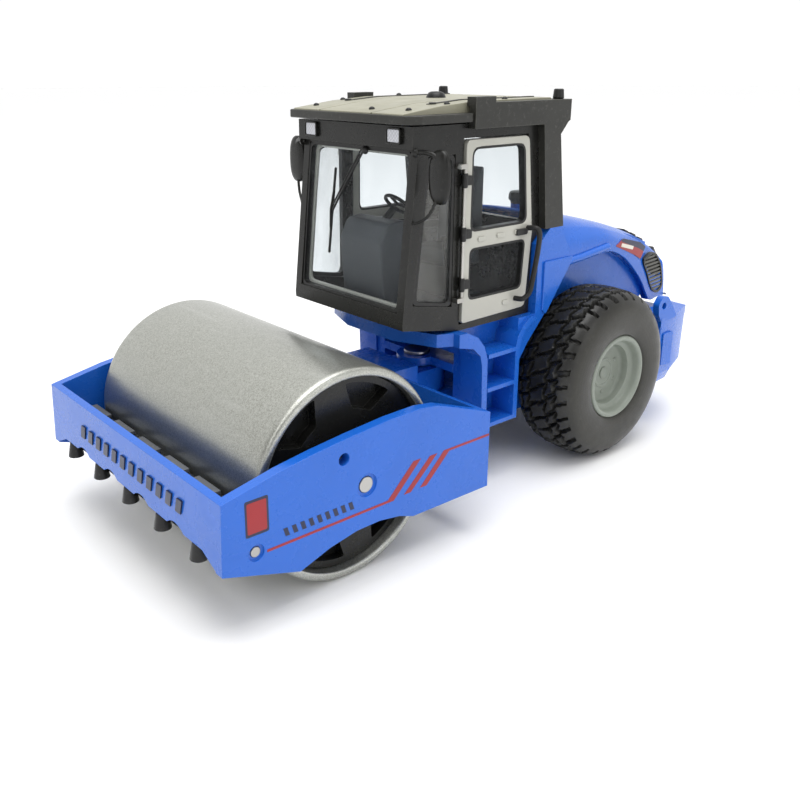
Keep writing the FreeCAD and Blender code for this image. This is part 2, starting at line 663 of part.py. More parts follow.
def make_hood():
    """A one-piece tilting shell: wide above the wheels, narrow between them, open underneath."""
    body = new_body("hood_wide")
    pad(body, outline(body, "XZ", {
        "front_low": ("7.5", "48.6"), "front_high": ("7.5", "54.8"), "brow": ("2.0", "56.6"),
        "crease_a": ("-12.9", "54.4"), "crease_b": ("-26.0", "50.7"), "crease_c": ("-41.8", "46.2"),
        "grille_low": ("-45.6", "40.4"), "lip_top": ("-46.8", "39.8"), "lip_low": ("-47.2", "33.0"),
        "band_low": ("-36.5", "31.2"),
        "arch_a": ("-33.6", "35.1"), "arch_b": ("-28.8", "40.3"), "arch_c": ("-25.0", "43.4"),
        "arch_d": ("-21.3", "46.1"), "arch_e": ("-16.7", "48.3"), "arch_f": ("-12.2", "49.6"),
    }), "2 * hood_half", symmetric=True)
    pad(body, outline(body, "XZ", {
        **CROWN, "low_rear": ("-41.0", "45.4"), "low_front": ("7.5", "52.0"),
    }), "2 * hood_crown_half", symmetric=True)
    pad(body, outline(body, "XZ", {
        "band": ("-30.0", "30.6"), "keel": ("-3.0", "28.2"), "heel": ("4.0", "32.4"),
        "shin": ("6.4", "46.6"),
        "front": ("7.5", "49.5"), "inside": ("-11.0", "50.0"), "inside_rear": ("-29.0", "42.0"),
    }), "2 * hood_panel_half", symmetric=True)
    for side in ("1", "-1"):
        trim_to_plan(body, side, "0")
    pocket(body, outline(body, "XZ", {
        "rear_low": ("-45.9", "20"), "rear_mid": ("-45.9", "39.2"), "grille_low": ("-44.6", "40.1"),
        "grille_top": ("-40.9", "45.5"), "roof_d": ("-35.1", "48.4"), "roof_c": ("-27.8", "51.0"),
        "roof_b": ("-17.0", "53.8"), "roof_a": ("-8.0", "56.1"), "roof_front": ("6.2", "58.8"),
        "front_low": ("6.2", "20"),
    }), "2 * hood_cavity_half", symmetric=True)
    pocket(body, outline(body, "XZ", SIDE_GRILLE), "80", symmetric=True)
    arm = join("hood_arm", [
        side_plate("arm_bar", {
            "root_low": ("6.2", "48.4"), "root_high": ("6.2", "53.0"),
            "eye_high": ("hinge_x", "hinge_z + 1.9"),
            "eye_low": ("hinge_x", "hinge_z - 1.9"),
        }, "13.0", "1.8"),
        rod("arm_eye", ("hinge_x", "11.2", "hinge_z"), "1.8", "1.9"),
    ])
    neck = rod("intake_neck", ("3.4", "0", "57.8"), "4.4", "2.1", "Z")
    solid = join("hood_solid", [body, neck] + both_sides("hood_arm_right", arm))
    bores = [crossing_rod("hood_bore", "hinge_x", "hinge_z", "30", "hinge_radius + running")]
    for row in range(3):
        for side in ("-5.0", "5.0"):
            low = f"40.9 + 1.75 * {row}"
            bores.append(block(f"rear_slot_{row}_{side[0]}", ("-50", "-40"),
                               (f"{side} - 4.2", f"{side} + 4.2"),
                               (low, f"{low} + 1.2")))
    for number in range(6):
        x = f"-25.0 - 2.6 * {number}"
        bores.append(block(f"louvre_{number}", (x, f"{x} + 1.4"), ("-6.5", "6.5"), ("46", "60")))
    settle("hood", cut("hood", solid, bores))
    settle("intake_cap", rod("intake_cap", ("3.4", "0", "62.2"), "2.4", "2.7", "Z", "2.5"))


def make_hood_trim():
    """Black inserts, lamps and labels, each on its own seat on the hood."""
    insert = side_plate("side_insert", grown(SIDE_GRILLE, -0.04), "17.5", "17.5 - hood_cavity_half")
    trim_to_plan(insert, "1", "0.3")
    settle_pair("hood_side_grille", insert)
    rear = across("rear_grille_solid", {
        "low_out": ("-44.36", "40.4"), "top_out": ("-41.0", "45.3"), "top_in": ("-40.4", "45.0"),
        "low_in": ("-43.75", "40.1"),
    }, "9.6")
    settle("hood_rear_grille", rear)
    settle("hood_louvre_insert", across("louvre_solid", {
        "rear_out": ("-39.6", "46.11"), "mid_out": ("-35.1", "48.36"), "bend_out": ("-27.8", "50.96"),
        "front_out": ("-23.0", "52.2"), "front_in": ("-23.0", "51.6"), "bend_in": ("-27.8", "50.36"),
        "mid_in": ("-35.1", "47.76"), "rear_in": ("-39.6", "45.5"),
    }, "6.9"))
    lamp = side_plate("lamp_left", {
        "low": ("-47.12", "34.7"), "high": ("-46.88", "38.7"), "high_out": ("-47.4", "38.7"),
        "low_out": ("-47.65", "34.7"),
    }, "10.8", "2.6")
    settle("tail_lamps", group("tail_lamps", both_sides("lamp_right", lamp)))


# ---------------------------------------------------------------------- cab

DOOR = {
    "front_low": ("44.0", "41.0"), "front_high": ("44.0", "80.8"), "rear_high": ("24.2", "80.8"),
    "rear_mid": ("21.7", "59.0"), "rear_low": ("23.0", "41.4"),
}
UPPER_WINDOW = {
    "front_low": ("42.2", "61.2"), "front_high": ("42.2", "79.2"), "rear_high": ("25.4", "79.2"),
    "rear_low": ("23.6", "61.2"),
}
LOWER_WINDOW = {
    "front_low": ("42.2", "46.0"), "front_high": ("42.2", "57.6"), "rear_high": ("23.8", "57.6"),
    "rear_low": ("24.6", "46.0"),
}
QUARTER = {
    "rear_low": ("46.6", "45.2"), "front_low": ("58.2", "47.4"), "front_high": ("54.4", "78.0"),
    "rear_high": ("46.6", "78.0"),
}


def make_cab_frame():
    body = new_body("cab_frame")
    pad(body, outline(body, "XZ", {
        "rear_low": ("20.8", "deck_top"), "sill": ("43.8", "deck_top"), "chin": ("60.9", "42.4"),
        "nose": ("61.0", "43.6"), "brow": ("57.2", "79.6"), "header_low": ("header_front", "79.6"),
        "top_front": ("header_front", "84.0"),
        "top_rear": ("20.0", "84.0"), "rear_belt": ("17.0", "59.6"), "rear_waist": ("20.8", "56.2"),
    }), "2 * cab_half", symmetric=True)
    pocket(body, outline(body, "XZ", {
        "rear_low": ("22.4", "40.7"), "sill": ("43.6", "40.7"), "chin": ("59.2", "43.7"),
        "brow": ("55.6", "82.4"), "top_rear": ("21.6", "82.4"), "rear_belt": ("18.8", "60.2"),
        "rear_waist": ("22.4", "57.0"),
    }), "2 * cab_inner_half", symmetric=True)
    for corners in (grown(DOOR, 0.3), QUARTER):
        pocket(body, outline(body, "XZ", corners), "80", symmetric=True)
    pocket(body, outline(body, "YZ", {
        "a": ("-cab_glass_half", "45.8"), "b": ("cab_glass_half", "45.8"),
        "c": ("cab_glass_half", "79.0"), "d": ("-cab_glass_half", "79.0"),
    }, "66"), "14")
    pocket(body, outline(body, "YZ", {
        "a": ("-14.6", "60.6"), "b": ("14.6", "60.6"), "c": ("14.6", "79.0"), "d": ("-14.6", "79.0"),
    }, "23"), "10")
    settle("cab_frame", body)


def make_glass():
    settle("windshield", across("windshield", {
        "low_out": ("60.2", "45.85"), "high_out": ("56.9", "78.95"), "high_in": ("56.3", "78.95"),
        "low_in": ("59.6", "45.85"),
    }, "cab_glass_half - snug"))
    settle("rear_window", across("rear_window", {
        "low_out": ("17.9", "60.65"), "high_out": ("20.1", "78.95"), "high_in": ("20.7", "78.95"),
        "low_in": ("18.5", "60.65"),
    }, "14.6 - snug"))
    settle_pair("quarter_glass", side_plate("quarter_glass_left", grown(QUARTER, -0.04),
                                            "cab_half - 0.4",
                                            "glass_thick"))


def make_doors():
    panel = side_plate("door_panel", DOOR, "cab_half", "door_thick")
    for window in (UPPER_WINDOW, LOWER_WINDOW):
        pocket(panel, outline(panel, "XZ", window), "80", symmetric=True)
    latch = block("door_latch", ("24.4", "27.6"), ("cab_half - 0.5", "cab_half + 0.7"),
                  ("58.8", "60.0"))
    settle_pair("door", join("door_left", [panel, latch]))
    panes = [side_plate(f"pane_{k}", grown(window, -0.04), "cab_half - 0.4", "glass_thick")
             for k, window in enumerate((UPPER_WINDOW, LOWER_WINDOW))]
    settle_pair("door_glass", group("door_glass_left", panes))
    knuckles = []
    for number, low in enumerate(("48.0", "62.0", "71.0")):
        leaf = block(f"leaf_{number}", ("42.4", "43.9"), ("cab_half", "door_hinge_y + 0.3"),
                     (low, f"{low} + 3"))
        arm = block(f"leaf_arm_{number}", ("43.6", "door_hinge_x"),
                    ("cab_half + 0.35", "door_hinge_y + 0.3"),
                    (low, f"{low} + 3"))
        eye = rod(f"knuckle_{number}", ("door_hinge_x", "door_hinge_y", low), "3", "0.8", "Z")
        knuckles.append(join(f"knuckle_solid_{number}", [leaf, arm, eye]))
    bore = rod("knuckle_bore", ("door_hinge_x", "door_hinge_y", "40"), "45",
               "door_pin_radius + running", "Z")
    cut_knuckles = [cut(f"door_knuckle_{k}", piece, [bore]) for k, piece in enumerate(knuckles)]
    settle_pair("door_hinges", group("door_hinges_left", cut_knuckles))
    pin = rod("door_pin_shaft", ("door_hinge_x", "door_hinge_y", "46.6"), "29", "door_pin_radius", "Z")
    lugs = [block(f"pin_lug_{k}", ("door_hinge_x - 0.25", "46.4"), ("cab_half", "door_hinge_y + 0.6"),
                  (low, f"{low} + 1")) for k, low in enumerate(("46.2", "75.0"))]
    settle_pair("door_pin", join("door_pin_left", [pin] + lugs))
    bar = join("grab_bar_left", [
        side_plate("grab_rail", {
            "high_rear": ("22.0", "60.2"), "high_front": ("23.2", "60.2"),
            "low_front": ("26.8", "44.0"),
            "low_rear": ("25.6", "44.0"),
        }, "23.6", "1.1"),
        rod("grab_top", ("22.8", "cab_half", "59.6"), "23.6 - cab_half", "0.6"),
        rod("grab_low", ("26.1", "cab_half", "44.8"), "23.6 - cab_half", "0.6"),
    ])
    settle_pair("grab_bar", bar)


def make_roof():
    """The grey roof panel, and the dark rollover frame whose two posts lean forward behind the cab."""
    panel = flat_plate("roof_front_plate", {
        "rear_right": ("15.2", "-19.2"), "step_right": ("43.8", "-19.2"),
        "side_right": ("43.8", "-21.2"),
        "chamfer_right": ("58.0", "-21.2"), "corner_right": ("61.3", "-19.4"),
        "corner_left": ("61.3", "19.4"),
        "chamfer_left": ("58.0", "21.2"), "side_left": ("43.8", "21.2"), "step_left": ("43.8", "19.2"),
        "rear_left": ("15.2", "19.2"),
    }, "roof_low", "1.9")
    crown = block("roof_crown", ("15.2", "52"), ("-18.4", "18.4"), ("roof_low + 1.5", "87.3"))
    settle("roof_panel", join("roof_panel", [panel, crown]))
    beam = side_plate("rops_beam", {
        "rear_low": ("11.8", "83.6"), "rear_high": ("11.8", "rops_top"),
        "front_high": ("43.0", "rops_top"),
        "front_low": ("43.0", "rops_low"), "rear_kink": ("13.0", "rops_low"),
    }, "rops_outer", "rops_wall")
    cap = block("beam_cap", ("37.0", "43.0"), ("18.6", "rops_outer"), ("87.5", "89.4"))
    cross = block("rops_cross", ("11.8", "15.0"), ("-rops_outer", "rops_outer"),
                  ("rops_low + 0.6", "rops_top"))
    post = side_plate("rops_post", {
        "low_rear": ("11.9", "rops_foot"), "low_front": ("18.4", "rops_foot"),
        "high_front": ("20.9", "83.4"),
        "block_front": ("20.9", "84.0"), "block_rear": ("11.8", "84.0"), "kink_low": ("14.9", "80.6"),
    }, "rops_outer", "rops_outer - cab_half - 0.05")
    flange = side_plate("post_flange", {
        "low_rear": ("11.9", "rops_foot"), "low_front": ("16.5", "rops_foot"),
        "high_front": ("19.2", "81.0"),
        "block_front": ("19.4", "84.0"), "block_rear": ("11.8", "84.0"), "kink_low": ("14.9", "80.6"),
    }, "cab_half + 0.1", "cab_half + 0.1 - rops_post_inner")
    left = [beam, cap, post, flange]
    frame = join("rops_solid", [cross] + left + [reflected(piece.Name + "_right",
                                                           piece) for piece in left])
    gap = block("roof_gap", ("15.0", "44"), ("-19.3", "19.3"), ("roof_low", "87.4"))
    settle("rops_frame", cut("rops_frame", frame, [gap]))
    spots = [(x, y) for x in ("18.4", "48.5") for y in ("-14.0", "14.0")]
    bolts = [rod(f"roof_bolt_{k}", (x, y, "87.3"), "1.0", "0.8", "Z") for k, (x, y) in enumerate(spots)]
    settle("roof_bolts", group("roof_bolts", bolts))
    knobs = [rod(f"corner_knob_{k}", ("13.4", y, "rops_top"), "2.2", "1.3", "Z", "1.1")
             for k, y in enumerate(("-18.6", "18.6"))]
    settle("corner_knobs", group("corner_knobs", knobs))
    settle("roof_beacon", rod("roof_beacon", ("34.0", "0", "87.3"), "2.6", "2.4", "Z", "1.6"))


def make_cab_outside():
    lights = row_of("work_light", 2, "28.0", lambda name, y: block(
        name, ("header_front", "header_front + 0.6"), (f"{y} - 2.2", f"{y} + 2.2"), ("80.4", "83.7")))
    settle("work_lights", group("work_lights", lights))
    arm = rod("mirror_arm", ("56.0", "cab_half", "79.0"), "3.0", "0.5")
    drop = rod("mirror_drop", ("56.0", "22.3", "64.0"), "15.5", "0.5", "Z")
    glass = block("mirror_glass", ("55.0", "57.0"), ("21.3", "25.3"), ("65.5", "77.5"))
    settle_pair("mirror", join("mirror_left", [arm, drop, glass]))
    settle("wiper", across("wiper", {
        "low": ("60.7", "54.0"), "low_out": ("61.3", "54.0"), "high_out": ("58.5", "76.0"),
        "high": ("58.0", "76.0"),
    }, "0.5"))


def make_interior():
    settle("cab_floor", across("cab_floor", {
        "rear": ("22.6", "40.75"), "sill": ("43.6", "40.75"), "front": ("58.9", "43.9"),
        "front_high": ("58.8", "44.8"), "sill_high": ("43.6", "41.9"), "rear_high": ("22.6", "41.9"),
    }, "cab_inner_half - 0.1"))
    settle("seat", join("seat", [
        across("seat_base", {
            "rear_low": ("24.0", "41.95"), "front_low": ("33.0", "41.95"),
            "front_mid": ("33.0", "49.0"),
            "cushion_front": ("37.0", "50.0"), "cushion_top": ("37.0", "54.0"),
            "back_root": ("29.0", "53.0"),
            "rear_mid": ("24.0", "53.0"),
        }, "6.4"),
        across("seat_back", {
            "low_rear": ("23.0", "52.0"), "low_front": ("28.4", "52.0"), "high_front": ("25.6", "72.8"),
            "high_rear": ("22.8", "72.8"),
        }, "5.8"),
    ]))
    settle("console", join("console", [
        across("console_tower", {
            "rear_low": ("46.0", "42.4"), "front_low": ("57.0", "44.5"), "front_mid": ("56.8", "56.0"),
            "front_high": ("54.6", "62.4"), "rear_high": ("46.5", "63.4"), "rear_mid": ("44.0", "56.0"),
        }, "9.6"),
        rod("steering_column", ("44.6", "0", "60.0"), "4.7", "0.9", "Z"),
    ]))
    rim = doc.addObject("Part::Torus", "steering_rim")
    bind(rim, Radius1="3.6", Radius2="0.5")
    bind(rim, Placement_Base_x="44.6", Placement_Base_z="65.2")
    hub = rod("steering_hub", ("44.6", "0", "64.7"), "0.9", "1.2", "Z")
    spoke = block("steering_spoke", ("44.2", "45.0"), ("-3.6", "3.6"), ("64.9", "65.4"))
    settle("steering_wheel", join("steering_wheel", [rim, hub, spoke]))


# ---------------------------------------------------------------------- build

make_front_frame()
make_front_scraper()
make_rear_scraper()
make_drum()
make_rear_wheels()
make_chassis()
make_platform()
make_counterweight()
make_engine()
make_hood()
make_hood_trim()
make_cab_frame()
make_glass()
make_doors()
make_roof()
make_cab_outside()
make_interior()
doc.recompute()

for thing in doc.Objects:
    if "Invalid" in thing.State or "Error" in thing.State:
        raise RuntimeError(f"{thing.Name} failed: {thing.State}")
for label, piece in NODES.items():
    if piece.Shape.isNull() or not piece.Shape.isValid() or not piece.Shape.Solids:
        raise RuntimeError(f"{label} has no valid solid")

os.makedirs("parts", exist_ok=True)
for label, piece in NODES.items():
    piece.Shape.exportStep(f"parts/{label}.step")
    print(label, len(piece.Shape.Solids), round(piece.Shape.Volume, 1))
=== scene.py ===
import json
import math

import bmesh
import bpy
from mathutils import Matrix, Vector, geometry


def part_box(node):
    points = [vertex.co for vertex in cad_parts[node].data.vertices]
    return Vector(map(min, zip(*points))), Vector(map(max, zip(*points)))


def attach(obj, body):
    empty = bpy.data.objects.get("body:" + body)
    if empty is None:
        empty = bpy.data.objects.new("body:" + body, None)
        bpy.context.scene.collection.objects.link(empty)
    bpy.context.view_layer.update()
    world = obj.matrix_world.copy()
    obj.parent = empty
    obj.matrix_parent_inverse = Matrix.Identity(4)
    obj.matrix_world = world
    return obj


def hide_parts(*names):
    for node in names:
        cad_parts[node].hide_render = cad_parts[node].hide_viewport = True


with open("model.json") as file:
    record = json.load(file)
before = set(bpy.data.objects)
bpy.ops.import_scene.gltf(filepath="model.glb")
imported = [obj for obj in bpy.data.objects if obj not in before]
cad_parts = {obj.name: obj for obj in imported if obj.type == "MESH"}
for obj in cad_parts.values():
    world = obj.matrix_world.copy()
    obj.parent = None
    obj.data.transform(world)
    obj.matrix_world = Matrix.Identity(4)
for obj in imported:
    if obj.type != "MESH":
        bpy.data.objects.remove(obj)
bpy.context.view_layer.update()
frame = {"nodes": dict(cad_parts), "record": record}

MM = 0.001
AXLE_X = -34.8
WHEEL_Z = 21.5
DRUM_X = 85.1
WELD_GAP = 0.002
BEVEL_ANGLE = math.radians(32)
FULL_TURN = 2 * math.pi
BODIES = frame["record"]["behaviour"]["bodies"]
BODY_OF = {node: body for body, members in BODIES.items() for node in members}


def at(x, y, z):
    """A point given in millimetres from the rear axle's place on the ground."""
    return Vector(((x + AXLE_X) * MM, y * MM, z * MM))


def side_name(side):
    return "left" if side > 0 else "right"


# ---------------------------------------------------------------- materials

def node(tree, kind, **values):
    made = tree.nodes.new(kind)
    for name, value in values.items():
        if hasattr(made, name):
            setattr(made, name, value)
        else:
            made.inputs[name.replace("_", " ")].default_value = value
    return made


def maths(tree, operation, first, second=None, third=None, clamp=False):
    made = tree.nodes.new("ShaderNodeMath")
    made.operation = operation
    made.use_clamp = clamp
    for socket, value in zip(made.inputs, (first, second, third)):
        if value is None:
            continue
        if isinstance(value, (int, float)):
            socket.default_value = value
        else:
            tree.links.new(value, socket)
    return made.outputs[0]


def blend_colour(tree, amount, first, second):
    made = tree.nodes.new("ShaderNodeMix")
    made.data_type = "RGBA"
    for socket, value in ((made.inputs[0], amount), (made.inputs[6], first), (made.inputs[7], second)):
        if isinstance(value, bpy.types.NodeSocket):
            tree.links.new(value, socket)
        elif isinstance(value, (int, float)):
            socket.default_value = value
        else:
            socket.default_value = (*value, 1)
    return made.outputs[2]


def noise_of(tree, coords, size_mm, detail=3.0, rough=0.5, stretch=None):
    """Noise whose lumps are about size_mm across."""
    if stretch:
        mapping = tree.nodes.new("ShaderNodeMapping")
        mapping.inputs["Scale"].default_value = stretch
        tree.links.new(coords, mapping.inputs["Vector"])
        coords = mapping.outputs["Vector"]
    made = node(tree, "ShaderNodeTexNoise", Scale=1000.0 / size_mm, Detail=detail, Roughness=rough)
    tree.links.new(coords, made.inputs["Vector"])
    return made.outputs["Fac"]


def spread(tree, value, low, high, start=0.3, end=0.7):
    made = tree.nodes.new("ShaderNodeMapRange")
    made.inputs["From Min"].default_value = start
    made.inputs["From Max"].default_value = end
    made.inputs["To Min"].default_value = low
    made.inputs["To Max"].default_value = high
    tree.links.new(value, made.inputs["Value"])
    return made.outputs["Result"]


def edge_wear_and_highlight(tree, radius_mm, low, high):
    """1 on the outer edges, 0 on the flats: the mask for edges painted lighter, partly as wear and partly as
    a painted highlight.
    """
    bevel = node(tree, "ShaderNodeBevel", samples=4, Radius=radius_mm * MM)
    shape = tree.nodes.new("ShaderNodeNewGeometry")
    dot = tree.nodes.new("ShaderNodeVectorMath")
    dot.operation = "DOT_PRODUCT"
    tree.links.new(bevel.outputs["Normal"], dot.inputs[0])
    tree.links.new(shape.outputs["Normal"], dot.inputs[1])
    return spread(tree, dot.outputs["Value"], 1.0, 0.0, 1.0 - high, 1.0 - low)


def new_material(name):
    material = bpy.data.materials.new(name)
    material.use_nodes = True
    tree = material.node_tree
    tree.nodes.clear()
    output = tree.nodes.new("ShaderNodeOutputMaterial")
    shader = tree.nodes.new("ShaderNodeBsdfPrincipled")
    tree.links.new(shader.outputs[0], output.inputs["Surface"])
    coords = tree.nodes.new("ShaderNodeTexCoord").outputs["Object"]
    return material, tree, shader, coords


def moulded(name, colour, rough, spec=0.5, metal=0.0, coat=0.0, coat_rough=0.1, mottle=0.08,
            grain_mm=0.25, grain=0.25, depth_mm=0.01, wear_and_highlight=0.25, highlight_and_wear_colour=None, dust=0.0):
    """Moulded plastic, paint or metal: slow colour drift, uneven gloss, fine grain, and outer edges painted
    lighter, partly as wear and partly as a painted highlight.
    """
    material, tree, shader, coords = new_material(name)
    shader.inputs["Metallic"].default_value = metal
    shader.inputs["Specular IOR Level"].default_value = spec
    shader.inputs["Coat Weight"].default_value = coat
    shader.inputs["Coat Roughness"].default_value = coat_rough
    drift = noise_of(tree, coords, 14.0, 4.0)
    darker = tuple(c * (1 - mottle) for c in colour)
    lighter = tuple(min(1.0, c * (1 + mottle)) for c in colour)
    base = blend_colour(tree, spread(tree, drift, 0.0, 1.0), darker, lighter)
    fine = noise_of(tree, coords, grain_mm, 2.0, 0.6)
    # Outer edges lightened towards a paler colour: partly wear, partly a painted highlight.
    if wear_and_highlight:
        edges = edge_wear_and_highlight(tree, 0.35, 0.02, 0.25)
        patchy_wear_and_highlight = maths(tree, "MULTIPLY", edges, spread(tree, noise_of(tree, coords, 2.2, 4.0), 0.2, 1.0))
        target = highlight_and_wear_colour or tuple(min(1.0, c * 1.6 + 0.03) for c in colour)
        base = blend_colour(tree, maths(tree, "MULTIPLY", patchy_wear_and_highlight, wear_and_highlight, clamp=True), base, target)
    if dust:
        specks = spread(tree, noise_of(tree, coords, 0.9, 5.0, 0.7), 0.0, 1.0, 0.56, 0.72)
        base = blend_colour(tree, maths(tree, "MULTIPLY", specks, dust, clamp=True), base,
                            (0.45, 0.44, 0.41))
    tree.links.new(base, shader.inputs["Base Color"])
    uneven = noise_of(tree, coords, 5.0, 5.0, 0.6)
    tree.links.new(spread(tree, uneven, rough * 0.82, min(1.0, rough * 1.22)), shader.inputs["Roughness"])
    slow = noise_of(tree, coords, 7.0, 2.0)
    height = maths(tree, "ADD", maths(tree, "MULTIPLY", fine, grain), maths(tree, "MULTIPLY", slow, 0.8))
    bump = node(tree, "ShaderNodeBump", Strength=0.6, Distance=depth_mm * MM)
    tree.links.new(height, bump.inputs["Height"])
    tree.links.new(bump.outputs["Normal"], shader.inputs["Normal"])
    return material


def flake_paint(name):
    """Silver paint with metallic flakes, brighter on the turned rims, partly as wear and partly as a painted
    highlight.
    """
    material, tree, shader, coords = new_material(name)
    cells = node(tree, "ShaderNodeTexVoronoi", Scale=6500.0)
    tree.links.new(coords, cells.inputs["Vector"])
    value = tree.nodes.new("ShaderNodeSeparateColor")
    tree.links.new(cells.outputs["Color"], value.inputs[0])
    flakes = blend_colour(tree, spread(tree, value.outputs[0], 0.0, 1.0, 0.1, 0.95),
                          (0.30, 0.305, 0.27), (0.50, 0.505, 0.465))
    drift = spread(tree, noise_of(tree, coords, 16.0, 3.0), 0.0, 0.3)
    base = blend_colour(tree, drift, flakes, (0.40, 0.41, 0.38))
    scuffs = spread(tree, noise_of(tree, coords, 3.0, 5.0, 0.7, (1.0, 0.12, 1.0)), 0.0, 0.25, 0.55, 0.75)
    base = blend_colour(tree, scuffs, base, (0.62, 0.63, 0.60))
    # Rims and edges lightened: partly wear, partly a painted highlight.
    edges = edge_wear_and_highlight(tree, 0.6, 0.01, 0.12)
    base = blend_colour(tree, maths(tree, "MULTIPLY", edges, 0.6), base, (0.80, 0.80, 0.77))
    tree.links.new(base, shader.inputs["Base Color"])
    shader.inputs["Metallic"].default_value = 0.88
    shader.inputs["Specular IOR Level"].default_value = 0.5
    shader.inputs["Coat Weight"].default_value = 0.25
    shader.inputs["Coat Roughness"].default_value = 0.18
    tree.links.new(spread(tree, value.outputs[1], 0.28, 0.42, 0.0, 1.0), shader.inputs["Roughness"])
    bump = node(tree, "ShaderNodeBump", Strength=0.35, Distance=0.02 * MM)
    tree.links.new(value.outputs[2], bump.inputs["Height"])
    tree.links.new(bump.outputs["Normal"], shader.inputs["Normal"])
    return material


def rubber(name):
    """Moulded tyre: warm dark grey, painted lighter and warmer on the sidewall as a painted sheen, chalky
    specks, fine rings round the axle.
    """
    material, tree, shader, coords = new_material(name)
    centre = at(0, 0, WHEEL_Z)
    offset = node(tree, "ShaderNodeVectorMath", operation="SUBTRACT")
    offset.inputs[1].default_value = centre
    tree.links.new(coords, offset.inputs[0])
    flat = node(tree, "ShaderNodeVectorMath", operation="MULTIPLY")
    flat.inputs[1].default_value = (1, 0, 1)
    tree.links.new(offset.outputs["Vector"], flat.inputs[0])
    radius = node(tree, "ShaderNodeVectorMath", operation="LENGTH")
    tree.links.new(flat.outputs["Vector"], radius.inputs[0])
    rings = maths(tree, "SINE", maths(tree, "MULTIPLY", radius.outputs["Value"], FULL_TURN / (0.9 * MM)))
    drift = spread(tree, noise_of(tree, coords, 8.0, 5.0, 0.6), 0.0, 1.0)
    base = blend_colour(tree, drift, (0.008, 0.008, 0.008), (0.018, 0.018, 0.016))
    # The sidewall is painted lighter and warmer than the tread, a painted sheen for the light its bulge
    # catches; the same mask places the rings on the sidewall.
    side = spread(tree, radius.outputs["Value"], 0.75, 0.0, 17.5 * MM, 20.2 * MM)
    base = blend_colour(tree, side, base, (0.028, 0.027, 0.021))
    chalk = spread(tree, noise_of(tree, coords, 1.6, 6.0, 0.7), 0.0, 0.12, 0.52, 0.75)
    base = blend_colour(tree, chalk, base, (0.12, 0.118, 0.10))
    # Edges lightened a little: partly wear, partly a painted highlight.
    edges = edge_wear_and_highlight(tree, 0.3, 0.02, 0.25)
    base = blend_colour(tree, maths(tree, "MULTIPLY", edges, 0.20), base, (0.06, 0.06, 0.055))
    tree.links.new(base, shader.inputs["Base Color"])
    shader.inputs["Specular IOR Level"].default_value = 0.38
    tree.links.new(spread(tree, noise_of(tree, coords, 3.0, 5.0), 0.30, 0.44), shader.inputs["Roughness"])
    fine = noise_of(tree, coords, 0.22, 3.0, 0.6)
    ring_share = maths(tree, "MULTIPLY", rings, maths(tree, "MULTIPLY", side, 0.10))
    bump = node(tree, "ShaderNodeBump", Strength=0.6, Distance=0.04 * MM)
    tree.links.new(maths(tree, "ADD", fine, ring_share), bump.inputs["Height"])
    tree.links.new(bump.outputs["Normal"], shader.inputs["Normal"])
    return material


def clear_sheet(name, tint, haze):
    """Thin clear plastic: mostly see-through, glossy at grazing angles, faintly hazy and scuffed."""
    material = bpy.data.materials.new(name)
    material.use_nodes = True
    tree = material.node_tree
    tree.nodes.clear()
    output = tree.nodes.new("ShaderNodeOutputMaterial")
    coords = tree.nodes.new("ShaderNodeTexCoord").outputs["Object"]
    clear = tree.nodes.new("ShaderNodeBsdfTransparent")
    shine = tree.nodes.new("ShaderNodeBsdfPrincipled")
    shine.inputs["Specular IOR Level"].default_value = 0.6
    streaks = noise_of(tree, coords, 9.0, 4.0, 0.6, (1.0, 1.0, 0.35))
    tree.links.new(blend_colour(tree, streaks, tint, tuple(c * 0.8 for c in tint)),
                   shine.inputs["Base Color"])
    tree.links.new(spread(tree, streaks, 0.03, 0.12), shine.inputs["Roughness"])
    tree.links.new(blend_colour(tree, streaks, (0.97, 0.98, 0.985), (0.90, 0.92, 0.93)),
                   clear.inputs["Color"])
    fresnel = node(tree, "ShaderNodeFresnel", IOR=1.45)
    clouds = spread(tree, streaks, haze * 0.4, haze * 1.6)
    shape = tree.nodes.new("ShaderNodeNewGeometry")
    front = maths(tree, "SUBTRACT", 1.0, shape.outputs["Backfacing"])
    mirrored = maths(tree, "MULTIPLY", maths(tree, "MULTIPLY", fresnel.outputs[0], 0.55), front)
    amount = maths(tree, "ADD", mirrored, maths(tree, "MULTIPLY", clouds, front), clamp=True)
    mix = tree.nodes.new("ShaderNodeMixShader")
    tree.links.new(amount, mix.inputs[0])
    tree.links.new(clear.outputs[0], mix.inputs[1])
    tree.links.new(shine.outputs[0], mix.inputs[2])
    tree.links.new(mix.outputs[0], output.inputs["Surface"])
    return material


def lens(name, colour, pitch_mm, rough=0.12):
    """Ribbed lamp lens."""
    material, tree, shader, coords = new_material(name)
    split = tree.nodes.new("ShaderNodeSeparateXYZ")
    tree.links.new(coords, split.inputs[0])
    across = maths(tree, "SINE", maths(tree, "MULTIPLY", split.outputs[1], FULL_TURN / (pitch_mm * MM)))
    upward = maths(tree, "SINE", maths(tree, "MULTIPLY", split.outputs[2], FULL_TURN / (pitch_mm * MM)))
    cross = maths(tree, "MULTIPLY", across, upward)
    darker = tuple(c * 0.7 for c in colour)
    base = blend_colour(tree, spread(tree, cross, 0.0, 1.0, -1.0, 1.0), darker, colour)
    tree.links.new(base, shader.inputs["Base Color"])
    shader.inputs["Coat Weight"].default_value = 0.6
    shader.inputs["Coat Roughness"].default_value = 0.05
    tree.links.new(spread(tree, noise_of(tree, coords, 1.5, 3.0), rough * 0.8, rough * 1.6),
                   shader.inputs["Roughness"])
    bump = node(tree, "ShaderNodeBump", Strength=0.5, Distance=0.08 * MM)
    tree.links.new(cross, bump.inputs["Height"])
    tree.links.new(bump.outputs["Normal"], shader.inputs["Normal"])
    return material
